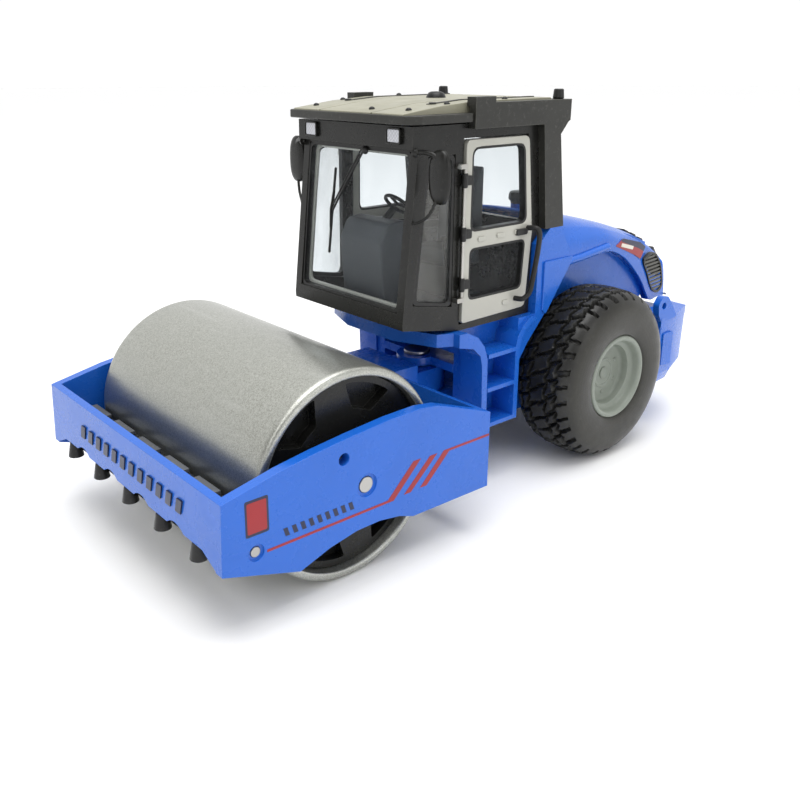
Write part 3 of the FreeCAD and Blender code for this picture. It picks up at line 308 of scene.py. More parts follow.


# The edge amounts and paler edge colours below lighten outer edges: partly wear, partly a painted highlight.
BLUE = moulded("blue_plastic", (0.010, 0.115, 0.54), 0.27, spec=0.40, coat=0.18, coat_rough=0.08,
               mottle=0.04, depth_mm=0.006, wear_and_highlight=0.12, highlight_and_wear_colour=(0.06, 0.20, 0.75))
CAB = moulded("cab_plastic", (0.010, 0.010, 0.009), 0.28, spec=0.32, mottle=0.25, wear_and_highlight=0.5,
              highlight_and_wear_colour=(0.07, 0.07, 0.062), dust=0.03)
ROOF = moulded("roof_plastic", (0.024, 0.024, 0.021), 0.42, spec=0.35, mottle=0.12, wear_and_highlight=0.5, dust=0.08,
               highlight_and_wear_colour=(0.20, 0.20, 0.17))
ROOF_TOP = moulded("roof_top", (0.30, 0.29, 0.215), 0.42, spec=0.4, mottle=0.10, wear_and_highlight=0.5, dust=0.10,
                   highlight_and_wear_colour=(0.72, 0.70, 0.58))
TRIM = moulded("black_trim", (0.011, 0.011, 0.011), 0.38, spec=0.35, mottle=0.2, wear_and_highlight=0.4, dust=0.05)
BEIGE = moulded("door_paint", (0.42, 0.415, 0.37), 0.34, spec=0.5, metal=0.25, coat=0.2, mottle=0.06,
                grain_mm=0.15, wear_and_highlight=0.4, highlight_and_wear_colour=(0.80, 0.80, 0.76))
PAD = moulded("pad_grey", (0.10, 0.105, 0.115), 0.62, mottle=0.18, grain=0.8, depth_mm=0.03, dust=0.2)
RIM = moulded("rim_plastic", (0.22, 0.245, 0.21), 0.42, mottle=0.06, grain=0.35, wear_and_highlight=0.35,
              highlight_and_wear_colour=(0.44, 0.46, 0.41), dust=0.05)
STEEL = moulded("steel", (0.42, 0.41, 0.385), 0.30, metal=1.0, mottle=0.15, grain_mm=0.12, grain=0.5,
                depth_mm=0.02, wear_and_highlight=0.2)
SLAT = moulded("grille_slats", (0.045, 0.044, 0.032), 0.34, mottle=0.2, wear_and_highlight=0.6,
               highlight_and_wear_colour=(0.16, 0.155, 0.11))
ENGINE = moulded("engine_plastic", (0.022, 0.022, 0.023), 0.45, mottle=0.25, wear_and_highlight=0.5, dust=0.06)
INTERIOR = moulded("interior_plastic", (0.050, 0.056, 0.064), 0.48, mottle=0.15, grain_mm=0.3, grain=0.6,
                   depth_mm=0.02, wear_and_highlight=0.3)
LAMP = lens("white_lens", (0.62, 0.63, 0.68), 0.9)
RED = moulded("red_print", (0.30, 0.010, 0.014), 0.34, mottle=0.10, wear_and_highlight=0.0, depth_mm=0.006)
NAVY = moulded("navy_print", (0.008, 0.012, 0.045), 0.34, mottle=0.15, wear_and_highlight=0.0, depth_mm=0.006)
CREAM = moulded("cream_print", (0.72, 0.69, 0.60), 0.36, mottle=0.08, wear_and_highlight=0.0, depth_mm=0.006)
TYRE = rubber("tyre_rubber")
DRUM = flake_paint("drum_paint")
GREY_LENS = lens("grey_lens", (0.10, 0.10, 0.09), 0.7)
GLASS = clear_sheet("window_sheet", (0.62, 0.64, 0.66), 0.02)
SMOKED = clear_sheet("quarter_sheet", (0.42, 0.42, 0.40), 0.22)


# ---------------------------------------------------------------- building helpers

def finish_piece(name, mesh, body, material, bevel=0.0, segments=3, replaces=(), smooth=34):
    """Put the mesh in the scene on its body, finish and the CAD nodes it stands for."""
    obj = bpy.data.objects.new(name, mesh)
    bpy.context.scene.collection.objects.link(obj)
    mesh.materials.append(material)
    for face in mesh.polygons:
        face.use_smooth = True
    if bevel:
        edge = obj.modifiers.new("bevel", "BEVEL")
        edge.width = bevel * MM
        edge.segments = segments
        edge.limit_method = "ANGLE"
        edge.angle_limit = BEVEL_ANGLE
        edge.harden_normals = True
        edge.use_clamp_overlap = True
    else:
        mesh.set_sharp_from_angle(angle=math.radians(smooth))
    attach(obj, body)
    if replaces:
        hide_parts(*replaces)
    return obj


def mesh_of(name, points, faces):
    """A closed mesh from points in millimetres; faces meet, normals point outwards."""
    mesh = bpy.data.meshes.new(name)
    built = bmesh.new()
    corners = [built.verts.new(at(*p)) for p in points]
    for face in faces:
        if len(set(face)) > 2:
            try:
                built.faces.new([corners[i] for i in face])
            except ValueError:
                pass
    bmesh.ops.remove_doubles(built, verts=built.verts, dist=WELD_GAP * MM)
    bmesh.ops.recalc_face_normals(built, faces=built.faces)
    built.to_mesh(mesh)
    built.free()
    return mesh


def ring_faces(starts, size, closed=True):
    """Faces between neighbouring rings of points; starts holds the first point of each ring."""
    faces = []
    for a, b in zip(starts, starts[1:]):
        for i in range(size if closed else size - 1):
            j = (i + 1) % size
            faces.append((a + i, a + j, b + j, b + i))
    return faces


def round_starts(steps, size):
    """The first points of the rings of a turned shape, back to the first ring."""
    return [k * size for k in range(steps)] + [0]


def circle(u, v, radius, steps):
    turns = [FULL_TURN * k / steps for k in range(steps)]
    return [(u + radius * math.cos(t), v + radius * math.sin(t)) for t in turns]


def merged(name, *meshes):
    """One mesh from several."""
    built = bmesh.new()
    for mesh in meshes:
        built.from_mesh(mesh)
        bpy.data.meshes.remove(mesh)
    mesh = bpy.data.meshes.new(name)
    built.to_mesh(mesh)
    built.free()
    return mesh


def rounded(corners, radius, steps=5):
    """The outline with its corners turned into arcs. radius is one number, or one for each corner."""
    radii = [radius] * len(corners) if isinstance(radius, (int, float)) else radius
    outline = []
    for i, corner in enumerate(corners):
        here = Vector(corner)
        back = Vector(corners[i - 1]) - here
        ahead = Vector(corners[(i + 1) % len(corners)]) - here
        half = back.angle(ahead) / 2
        if radii[i] <= 0 or abs(half - math.pi / 2) < 0.01:
            outline.append(tuple(here))
            continue
        run = min(radii[i] / math.tan(half), 0.48 * back.length, 0.48 * ahead.length)
        start = here + back.normalized() * run
        end = here + ahead.normalized() * run
        for k in range(steps + 1):
            t = k / steps
            outline.append(tuple(start.lerp(here, t).lerp(here.lerp(end, t), t)))
    return outline


def side_plane(u, v, w):
    return (u, w, v)


def front_plane(u, v, w):
    return (w, u, v)


def top_plane(u, v, w):
    return (u, v, w)


def plate(name, loops, low, high, plane=side_plane):
    """A flat plate between low and high; the first loop is its outline and the others are holes."""
    flat = [[Vector((*p, 0.0)) for p in loop] for loop in loops]
    triangles = geometry.tessellate_polygon(flat)
    corners = [p for loop in loops for p in loop]
    count = len(corners)
    points = [plane(*p, low) for p in corners] + [plane(*p, high) for p in corners]
    faces = [tuple(t) for t in triangles] + [tuple(i + count for i in reversed(t)) for t in triangles]
    first = 0
    for loop in loops:
        size = len(loop)
        for i in range(size):
            a, b = first + i, first + (i + 1) % size
            faces.append((a, b, b + count, a + count))
        first += size
    mesh = mesh_of(name, points, faces)
    built = bmesh.new()
    built.from_mesh(mesh)
    bmesh.ops.dissolve_limit(built, angle_limit=math.radians(0.5), verts=built.verts, edges=built.edges)
    built.to_mesh(mesh)
    built.free()
    return mesh


def lathe(name, profile, x, z, steps=96, closed=False):
    """The profile of (radius, y) pairs turned about the axle line at x, z."""
    points = []
    for k in range(steps):
        turn = FULL_TURN * k / steps
        points += [(x + r * math.sin(turn), y, z + r * math.cos(turn)) for r, y in profile]
    size = len(profile)
    return mesh_of(name, points, ring_faces(round_starts(steps, size), size, closed))


def smooth_path(corners, steps=6):
    """A Catmull-Rom line through the points."""
    ends = [Vector(c) for c in corners]
    ends = [ends[0] * 2 - ends[1]] + ends + [ends[-1] * 2 - ends[-2]]
    path = []
    for i in range(1, len(ends) - 2):
        a, b, c, d = ends[i - 1:i + 3]
        for k in range(steps):
            t = k / steps
            path.append(0.5 * (2 * b + (c - a) * t + (2 * a - 5 * b + 4 * c - d) * t * t
                               + (3 * b - a - 3 * c + d) * t ** 3))
    return path + [ends[-2]]


def tube(name, path, radius, sides=16):
    """A round bar along the path with domed ends."""
    path = [Vector(p) for p in path]
    radii = [radius] * len(path) if isinstance(radius, (int, float)) else list(radius)
    points = []
    rings = []
    side = None
    for i, here in enumerate(path):
        ahead = path[min(i + 1, len(path) - 1)] - path[max(i - 1, 0)]
        ahead.normalize()
        if side is None:
            side = ahead.orthogonal().normalized()
        side = (side - ahead * side.dot(ahead)).normalized()
        up = ahead.cross(side)
        domes = [(0.0, 1.0)]
        if i == 0:
            domes = [(-0.85, 0.5), (-0.5, 0.85), (0.0, 1.0)]
        if i == len(path) - 1:
            domes = [(0.0, 1.0), (0.5, 0.85), (0.85, 0.5)]
        for shift, share in domes:
            centre = here + ahead * shift * radii[i] * 0.6
            rings.append(len(points))
            for k in range(sides):
                turn = FULL_TURN * k / sides
                spoke = side * math.cos(turn) + up * math.sin(turn)
                points.append(tuple(centre + spoke * radii[i] * share))
    faces = ring_faces(rings, sides)
    faces.append(tuple(reversed(range(rings[0], rings[0] + sides))))
    faces.append(tuple(range(rings[-1], rings[-1] + sides)))
    return mesh_of(name, points, faces)


def brick(name, x, y, z):
    points = [(a, b, c) for a in x for b in y for c in z]
    faces = [(0, 1, 3, 2), (4, 6, 7, 5), (0, 4, 5, 1), (2, 3, 7, 6), (0, 2, 6, 4), (1, 5, 7, 3)]
    return mesh_of(name, points, faces)


def stack(name, levels):
    """A closed block through outlines of equal length, given as (corners, z) from the bottom up."""
    size = len(levels[0][0])
    points = [(x, y, z) for corners, z in levels for x, y in corners]
    faces = [tuple(reversed(range(size))), tuple(range(len(points) - size, len(points)))]
    faces += ring_faces(range(0, len(points), size), size)
    return mesh_of(name, points, faces)


def dome(name, centre, axis, radius, height, sides=20, rings=5, sunk=0.2):
    """A low round head on a surface."""
    axis = Vector(axis).normalized()
    side = axis.orthogonal().normalized()
    up = axis.cross(side)
    centre = Vector(centre)
    points = []
    levels = [(radius, -sunk)]
    levels += [(radius * math.cos(k / rings * math.pi / 2), height * math.sin(k / rings * math.pi / 2))
               for k in range(rings)]
    for r, h in levels:
        for k in range(sides):
            turn = FULL_TURN * k / sides
            points.append(tuple(centre + axis * h + (side * math.cos(turn) + up * math.sin(turn)) * r))
    points.append(tuple(centre + axis * height))
    faces = [tuple(reversed(range(sides)))]
    faces += ring_faces(range(0, len(levels) * sides, sides), sides)
    last = (len(levels) - 1) * sides
    for k in range(sides):
        faces.append((last + k, last + (k + 1) % sides, len(points) - 1))
    return mesh_of(name, points, faces)


def keep(name, material, bevel, segments=3):
    """A CAD node shown as it is, with softened edges and its own finish."""
    obj = frame["nodes"][name]
    obj.data.materials.clear()
    obj.data.materials.append(material)
    for face in obj.data.polygons:
        face.use_smooth = True
        face.material_index = 0
    weld = obj.modifiers.new("weld", "WELD")
    weld.merge_threshold = WELD_GAP * MM
    flat = obj.modifiers.new("flat", "DECIMATE")
    flat.decimate_type = "DISSOLVE"
    flat.angle_limit = math.radians(1.0)
    edge = obj.modifiers.new("bevel", "BEVEL")
    edge.width = bevel * MM
    edge.segments = segments
    edge.limit_method = "ANGLE"
    edge.angle_limit = BEVEL_ANGLE
    edge.harden_normals = True
    normals = obj.modifiers.new("normals", "WEIGHTED_NORMAL")
    normals.keep_sharp = True
    return obj


# ---------------------------------------------------------------- CAD pieces that stay

for name, material, bevel in (
        ("front_frame", BLUE, 0.75), ("front_scraper", TRIM, 0.25), ("scraper_pads", PAD, 0.2),
        ("scraper_rod", STEEL, 0.2), ("rear_scraper", TRIM, 0.25),
        ("drum_axle", STEEL, 0.2),
        ("rear_axle", STEEL, 0.2), ("chassis", BLUE, 0.35), ("articulation_pin", STEEL, 0.2),
        ("base_plate", TRIM, 0.3), ("base_screws", STEEL, 0.12), ("cab_platform", BLUE, 0.4),
        ("hood_hinge_pin", STEEL, 0.15), ("filler_knob", TRIM, 0.3),
        ("radiator", ENGINE, 0.3), ("engine_block", ENGINE, 0.35), ("cab_frame", CAB, 0.35),
        ("cab_floor", INTERIOR, 0.3), ("rops_frame", ROOF, 0.45), ("roof_bolts", ROOF, 0.15),
        ("corner_knobs", TRIM, 0.3), ("tail_lamps", GREY_LENS, 0.3),
        ("door_pin_left", STEEL, 0.1), ("door_pin_right", STEEL, 0.1)):
    keep(name, material, bevel)


def counterweight():
    """The tail casting: upright sides drawn in at the foot, raised shoulders, lugs and a towing shelf."""
    def outline(rear, corner, front, deep):
        half = [(-25.0, front), (-32.5, corner), (-43.0 + deep, rear), (-44.2 + deep, 12.0)]
        return ([(x, -y) for x, y in half] + [(-44.6 + deep, 0.0)] + [(x, y) for x, y in reversed(half)]
                + [(-25.0, 13.4), (-30.0, 13.4), (-30.0, -13.4), (-25.0, -13.4)])

    body = stack("cast", [(outline(20.6, 25.2, 26.0, 2.4), 11.6), (outline(23.2, 26.7, 27.1, 0.2), 15.0),
                          (outline(23.4, 26.8, 27.2, 0.0), 29.0)])
    parts = []
    for side in (1, -1):
        shoulder = [(-25.0, side * 27.2), (-32.5, side * 26.8), (-43.0, side * 23.4), (-43.4, side * 18.4),
                    (-25.0, side * 18.4)]
        parts.append(stack("shoulder", [(shoulder, 28.4), (shoulder, 30.8)]))
        lug = rounded([(-32.6, 30.2), (-29.6, 34.2), (-27.4, 36.6), (-24.9, 36.9), (-23.2, 34.8),
                       (-23.6, 32.0), (-25.2, 29.6)], [0, 1.5, 1.5, 1.6, 1.4, 1.0, 0], 5)
        parts.append(plate("lug", [lug, circle(-25.8, 34.2, 0.95, 16)], *sorted((side * 25.3, side * 27.1))))
        panel = rounded([(-31.0, 17.0), (-26.4, 17.4), (-26.4, 26.4), (-31.0, 26.4)], 0.6, 4)
        parts.append(plate("panel", [panel], *sorted((side * 26.4, side * 27.45))))
    hump = rounded([(-35.0, -12.4), (-30.2, -12.4), (-30.2, 12.4), (-35.0, 12.4)], 0.8, 4)
    parts.append(plate("hump", [hump], 28.5, 30.6, top_plane))
    shelf = rounded([(-40, -4.4), (-46.0, -4.4), (-47.7, -2.4), (-47.7, 2.4), (-46.0, 4.4), (-40, 4.4)],
                    [0, 1.5, 2.0, 2.0, 1.5, 0], 5)
    parts.append(plate("shelf", [shelf, circle(-45.9, 0, 1.1, 24)], 15.0, 16.6, top_plane))
    finish_piece("counterweight_cast", body, "rear_unit", BLUE, bevel=0.6, segments=3,
                 replaces=("counterweight",))
    finish_piece("counterweight_fittings", merged("fittings", *parts), "rear_unit", BLUE,
                 bevel=0.3, segments=3)


counterweight()


def fender_panel(side):
    """The raised lower panel on the arch casting, whose top edge carries on the hood's lip."""
    low_panel = rounded([(18.4, 39.9), (18.4, 51.6), (7.7, 51.6), (8.3, 50.3), (17.0, 38.7)],
                        [0.4, 0.6, 0.4, 0.2, 0.3], 4)
    name = side_name(side)
    mesh = plate("fender", [low_panel], *sorted((side * 21.0, side * 21.7)))
    finish_piece(f"fender_panel_{name}", mesh, "rear_unit", BLUE, bevel=0.35, segments=3)


for side in (1, -1):
    fender_panel(side)


# ---------------------------------------------------------------- drum

def drum_shell():
    outer, inner, half = 21.5, 19.6, 31.95
    rim = [(outer, half - 1.5), (outer - 0.05, half - 0.95), (outer - 0.22, half - 0.45),
           (outer - 0.55, half - 0.1), (outer - 0.9, half), (inner + 0.35, half),
           (inner + 0.12, half - 0.1), (inner, half - 0.4)]
    profile = rim + [(inner, 0)] + [(r, -y) for r, y in reversed(rim)]
    profile += [(outer, -half / 2), (outer, 0), (outer, half / 2)]
    mesh = lathe("drum_shell_skin", profile, DRUM_X, WHEEL_Z, steps=180, closed=True)
    return finish_piece("drum_skin", mesh, "drum", DRUM, replaces=("drum_shell",), smooth=50)


drum_shell()


def wheel_arc(radius, start, end, steps):
    """Points round the drum's axle; angles are in degrees from the top towards the front."""
    turns = [math.radians(start + (end - start) * k / steps) for k in range(steps + 1)]
    return [(DRUM_X + radius * math.sin(t), WHEEL_Z + radius * math.cos(t)) for t in turns]


def drum_end(side):
    """The black end disc: a flat face with six pockets round a stepped boss."""
    def plane(u, v, w):
        return (u, side * w, v)

    rim_line = wheel_arc(19.35, 0, 357, 119)
    pockets = []
    for k in range(6):
        middle = -19.5 + 60 * k
        outer = wheel_arc(18.0, middle - 18.5, middle + 18.5, 10)
        inner = wheel_arc(12.8, middle + 10.5, middle - 10.5, 4)
        corners = outer + inner
        radii = [0.9] + [0] * 9 + [0.9, 0.9] + [0] * 3 + [0.9]
        pockets.append(rounded(corners, radii, 4))
    face = plate("face", [rim_line] + pockets, 27.6, 29.9, plane)
    back = plate("back", [wheel_arc(19.3, 0, 357, 119)], 27.0, 27.7, plane)
    boss = lathe("boss", [(2.35, side * 29.4), (2.35, side * 31.5), (3.6, side * 31.5), (3.9, side * 31.2),
                          (4.0, side * 30.5), (5.6, side * 30.4), (6.0, side * 30.1), (6.1, side * 29.4)],
                 DRUM_X, WHEEL_Z, 64, closed=True)
    name = side_name(side)
    finish_piece(f"drum_end_{name}_disc", merged("end", face, back), "drum", CAB, bevel=0.3,
                 segments=3, replaces=(f"drum_end_{name}",))
    finish_piece(f"drum_boss_{name}", boss, "drum", CAB, bevel=0.12, segments=2)


for side in (1, -1):
    drum_end(side)


# ---------------------------------------------------------------- rear wheels

def tread_height(turn, across):
    """1 on top of a tread block, 0 in a groove. turn counts pitches, across runs -1 to 1."""
    def groove(position, width, softness=0.05):
        distance = abs((position + 0.5) % 1.0 - 0.5)
        return min(1.0, max(0.0, (distance - width) / softness))

    def zigzag(value):
        return abs((value % 1.0) * 2 - 1) * 2 - 1

    side = 1 if across > 0 else -1
    reach = abs(across)
    turn += 0.07 * math.sin(turn * 2.4 + side) + 0.05 * math.sin(turn * 5.1)
    height = 1.0
    if reach < 0.30:
        height = min(height, groove(turn + across * 0.9, 0.08))
    for place, sweep in ((0.33, 0.0), (0.66, 0.5)):
        line = place + 0.06 * zigzag(turn + sweep + 0.25 * side)
        height = min(height, min(1.0, max(0.0, (abs(reach - line) - 0.026) / 0.022)))
    if 0.30 <= reach < 0.66:
        height = min(height, groove(turn + 0.5 + side * (reach - 0.33) * 1.1, 0.09))
    if reach >= 0.62:
        height = min(height, groove(turn + 0.22 + side * (reach - 0.66) * 0.5, 0.10))
    return height


def tyre(side):
    """The tyre on one side: side is 1 for left and -1 for right."""
    middle, half_width = 23.75, 8.75
    section = [(10.62, -7.9), (11.3, -8.35), (13.0, -8.68), (15.2, -8.75), (17.2, -8.5), (18.7, -7.95)]
    shoulder = [(19.8, -7.2), (20.6, -6.3), (21.1, -5.1), (21.36, -3.5), (21.48, -1.7), (21.5, 0.0)]
    half = smooth_path([(r, y, 0) for r, y in section + shoulder], 7)
    outline = [(p.x, p.y) for p in half] + [(p.x, -p.y) for p in reversed(half[:-1])]
    pitches, per_pitch = 32, 14
    steps = pitches * per_pitch
    points = []
    for k in range(steps):
        turn = FULL_TURN * k / steps
        for radius, y in outline:
            across = y / 7.5
            depth = 0.0
            if abs(across) < 1.0 and radius > 19.0:
                fade = min(1.0, (radius - 19.0) / 0.9)
                depth = 1.15 * (1 - tread_height(k / per_pitch, across)) * fade
            r = radius - depth
            points.append((r * math.sin(turn), side * (middle + y), WHEEL_Z + r * math.cos(turn)))
    size = len(outline)
    faces = ring_faces(round_starts(steps, size), size)
    name = side_name(side)
    mesh = mesh_of(f"tyre_{name}_mesh", points, faces)
    return finish_piece(f"tyre_{name}_tread", mesh, "rear_wheels", TYRE,
                        replaces=(f"tyre_{name}",), smooth=30)


def rim(side):
    outline = [(0.0, 28.0), (0.9, 27.95), (1.5, 27.7), (1.55, 27.45), (3.1, 27.45), (3.25, 27.6),
               (3.7, 27.62), (3.85, 27.45), (6.2, 27.3), (6.9, 27.35), (7.25, 27.6), (7.4, 28.1),
               (7.55, 29.0), (7.7, 29.35), (8.5, 29.6), (8.75, 29.8), (8.9, 30.2), (9.05, 31.0),
               (9.2, 31.5), (9.45, 31.85), (9.8, 31.98), (10.2, 31.95), (10.45, 31.75), (10.55, 31.4),
               (10.55, 16.2), (10.0, 15.95), (7.0, 16.0), (6.6, 17.5), (1.8, 17.6), (1.8, 16.2), (0.0, 16.2)]
    turned = lathe("rim", [(r, side * y) for r, y in outline], 0, WHEEL_Z, steps=96)
    bolts = []
    for k in range(6):
        turn = math.pi * k / 3
        place = (5.1 * math.sin(turn), side * 27.35, WHEEL_Z + 5.1 * math.cos(turn))
        bolts.append(dome("bolt", place, (0, side, 0), 0.55, 0.3, 12, 3))
    name = side_name(side)
    return finish_piece(f"rim_{name}_dish", merged("rim_mesh", turned, *bolts), "rear_wheels",
                        RIM, replaces=(f"rim_{name}",), smooth=40)


for side in (1, -1):
    tyre(side)
    rim(side)


# ---------------------------------------------------------------- hood

def between(table, x):
    """Linear reading of (x, value) pairs, given from front to back."""
    for (xa, a), (xb, b) in zip(table, table[1:]):
        if xb <= x <= xa:
            return b + (a - b) * (x - xb) / (xa - xb)
    return table[0][1] if x > table[0][0] else table[-1][1]


def flank(x):
    """The hood's half width at x."""
    return between([(9, 19.1), (-12, 18.0), (-33, 16.0), (-50, 13.8)], x)


def hood_skin():
    """The outer skin: rows run round the hood from its front edge to its tail."""
    rows = [
        # x,    crown, crest, ledge, lip
        (7.4, 60.6, 57.5, 50.6, 48.6),
        (6.0, 60.5, 57.5, 50.6, 48.6),
        (-1.0, 59.4, 57.0, 51.2, 49.1),
        (-8.0, 58.0, 55.9, 51.6, 49.3),
        (-12.2, 57.0, 55.0, 51.9, 49.7),
        (-16.7, 55.9, 53.8, 50.7, 48.3),
        (-21.3, 54.6, 52.4, 48.6, 46.1),
        (-25.0, 53.5, 51.2, 46.0, 43.4),
        (-28.8, 52.2, 49.9, 43.0, 40.3),
        (-31.4, 51.3, 48.9, 40.5, 37.8),
        (-33.6, 50.4, 48.0, 38.0, 35.1),
        (-36.5, 49.1, 46.7, 35.0, 31.3),
        (-39.5, 47.6, 45.3, 34.6, 31.5),
        (-42.4, 45.9, 43.7, 34.6, 31.8),
    ]
    tail = [
        # x, z of the rear face, going down
        (-44.5, 43.4), (-45.9, 40.6), (-46.7, 37.6), (-47.1, 34.4), (-47.2, 32.2)]
    low = 31.4
    grid = []
    for x, crown, crest, ledge, lip in rows:
        wide = flank(x)
        ridge = min(16.4, wide - 1.7)
        grid.append([(x, 0, crown), (x, ridge * 0.45, crown - 0.12), (x, ridge * 0.82, crown - 0.55),
                     (x, ridge, crest), (x, wide - 0.6, crest - (crest - ledge) * 0.36),
                     (x, wide - 0.1, crest - (crest - ledge) * 0.7), (x, wide, ledge),
                     (x, wide, (ledge + lip) / 2), (x, wide, lip)])
    for x, z in tail:
        wide = flank(x + 2)
        corner = x + 1.4
        middle = (z + low) / 2
        grid.append([(x, 0, z), (x, 6.5, z), (x + 0.2, 10.8, z - 0.1), (x + 0.7, wide - 1.7, z - 0.4),
                     (x + 1.1, wide - 0.6, z - 0.5), (corner + 0.2, wide, z - 0.6),
                     (corner + 0.3, wide, middle - 0.3), (corner + 0.3, wide, low + 0.4),
                     (corner + 0.3, wide, low)])
    width = len(grid[0])
    points = []
    for row in grid:
        points += [(x, -y, z) for x, y, z in reversed(row[1:])] + row
    size = 2 * width - 1
    faces = []
    for r in range(len(grid) - 1):
        for i in range(size - 1):
            a = r * size + i
            faces.append((a, a + 1, a + 1 + size, a + size))
    mesh = bpy.data.meshes.new("hood_skin_mesh")
    built = bmesh.new()
    corners = [built.verts.new(at(*p)) for p in points]
    built.verts.index_update()
    for face in faces:
        built.faces.new([corners[i] for i in face])
    crease = built.edges.layers.float.new("crease_edge")
    ridge_lines = (width - 1 - 3, width - 1 + 3)
    for edge in built.edges:
        first, second = (v.index for v in edge.verts)
        if first % size == second % size and first % size in ridge_lines:
            edge[crease] = 0.75
    bmesh.ops.recalc_face_normals(built, faces=built.faces)
    top = max(built.faces, key=lambda f: f.calc_center_median().z)
    if top.normal.z < 0:
        bmesh.ops.reverse_faces(built, faces=built.faces)
    built.to_mesh(mesh)
    built.free()
    obj = bpy.data.objects.new("hood_skin", mesh)
    bpy.context.scene.collection.objects.link(obj)
    mesh.materials.append(BLUE)
    for face in mesh.polygons:
        face.use_smooth = True
    shape = obj.modifiers.new("smooth", "SUBSURF")
    shape.levels = 3
    shape.render_levels = 3
    skin = obj.modifiers.new("thickness", "SOLIDIFY")
    skin.thickness = 1.1 * MM
    skin.offset = -1
    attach(obj, "hood_shell")
    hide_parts("hood")
    return obj


hood_skin()


def hood_inside():
    """The wheel-arch walls inside the skin, the front edge, the hinge arms and the intake neck."""
    parts = []
    for side in (1, -1):
        wall = [(-34.0, 33.5), (-30.5, 30.8), (-3.0, 28.4), (4.0, 32.6), (6.4, 46.6), (7.4, 50.2),
                (7.4, 58.6), (-8, 56.4), (-17, 54.2), (-28, 51.0), (-34.0, 48.6)]
        parts.append(plate("arch_wall", [wall], side * 13.1, side * 14.3))
        arm = rounded([(6.4, 48.4), (18.0, 47.9), (19.9, 49.8), (18.0, 51.7), (6.4, 52.6)],
                      [0, 1.8, 1.8, 1.8, 0])
        parts.append(plate("arm", [arm, circle(18, 49.8, 0.95, 16)], side * 11.2, side * 13.0))
    parts.append(plate("neck", [circle(3.4, 0, 2.1, 32)], 57.8, 62.2, top_plane))
    return finish_piece("hood_inner_walls", merged("hood_inner", *parts), "hood_shell", BLUE,
                        bevel=0.25, segments=2)


hood_inside()


def arch_liner(side):
    """The curved ceiling of the wheel arch between the inner wall and the skin."""
    edge = [(7.2, 48.7), (1.2, 49.1), (-3.4, 49.2), (-7.9, 49.3), (-12.2, 49.7), (-16.7, 48.3), (-21.3, 46.1),
            (-25.0, 43.4), (-28.8, 40.3), (-33.6, 35.1), (-36.0, 31.9)]
    line = [(p.x, p.y) for p in smooth_path([(u, v, 0) for u, v in edge], 3)]
    upper = []
    for i, here in enumerate(line):
        ahead = Vector(line[min(i + 1, len(line) - 1)]) - Vector(line[max(i - 1, 0)])
        ahead.normalize()
        upper.append((here[0] + ahead.y * 0.9, here[1] - ahead.x * 0.9))
    outline = line + upper[::-1]

    def plane(u, v, w):
        return (u, side * (flank(u) - 0.35 if w else 13.5), v)

    name = side_name(side)
    liner = plate(f"arch_{name}", [outline], 0, 1, plane)
    lip = tube("lip", smooth_path([(x, side * (flank(x) + 0.15), z) for x, z in (
        (6.6, 49.6), (2.6, 49.75), (-1.0, 50.0), (-5.0, 50.35), (-9.0, 50.7), (-11.0, 50.9))], 4), 0.95, 16)
    return finish_piece(f"hood_arch_{name}", merged("arch", liner, lip), "hood_shell", BLUE,
                        smooth=45)


for side in (1, -1):
    arch_liner(side)


def side_grille(side):
    """A leaning oval black grille with level slats, let into the flank."""
    oval = [(-30.8, 44.6), (-34.6, 45.7), (-37.4, 45.2), (-39.5, 43.7), (-41.6, 41.4), (-42.9, 38.8),
            (-43.9, 35.6), (-43.4, 33.9), (-41.0, 33.1), (-38.0, 34.2), (-35.6, 36.6), (-33.2, 40.2),
            (-31.0, 43.0)]
    outline = [(p.x, p.y) for p in smooth_path([(u, v, 0) for u, v in oval + oval[:1]], 5)][:-1]
    centre = Vector((-37.6, 39.6))
    inner = [tuple(centre + (Vector(p) - centre) * 0.88) for p in outline]

    def plane(u, v, w):
        return (u, side * (flank(u) + w), v)

    ring = plate("ring", [outline, inner], -0.5, 0.32, plane)
    back = plate("back", [outline], -0.6, -0.22, plane)
    slats = []
    for k in range(10):
        level = 34.7 + k * 1.08
        near = [p[0] for p in inner if abs(p[1] - level) < 0.9]
        first, last = min(near), max(near)
        slat = [(first, level - 0.3), (last, level - 0.3), (last, level + 0.3), (first, level + 0.3)]
        slats.append(plate("slat", [slat], -0.4, 0.2, plane))
    name = side_name(side)
    finish_piece(f"side_grille_{name}_frame", ring, "hood_shell", TRIM, bevel=0.15,
                 segments=2, replaces=(f"hood_side_grille_{name}",))
    finish_piece(f"side_grille_{name}_back", back, "hood_shell", ENGINE)
    finish_piece(f"side_grille_{name}_slats", merged("slats", *slats), "hood_shell", SLAT,
                 bevel=0.12, segments=2)


for side in (1, -1):
    side_grille(side)


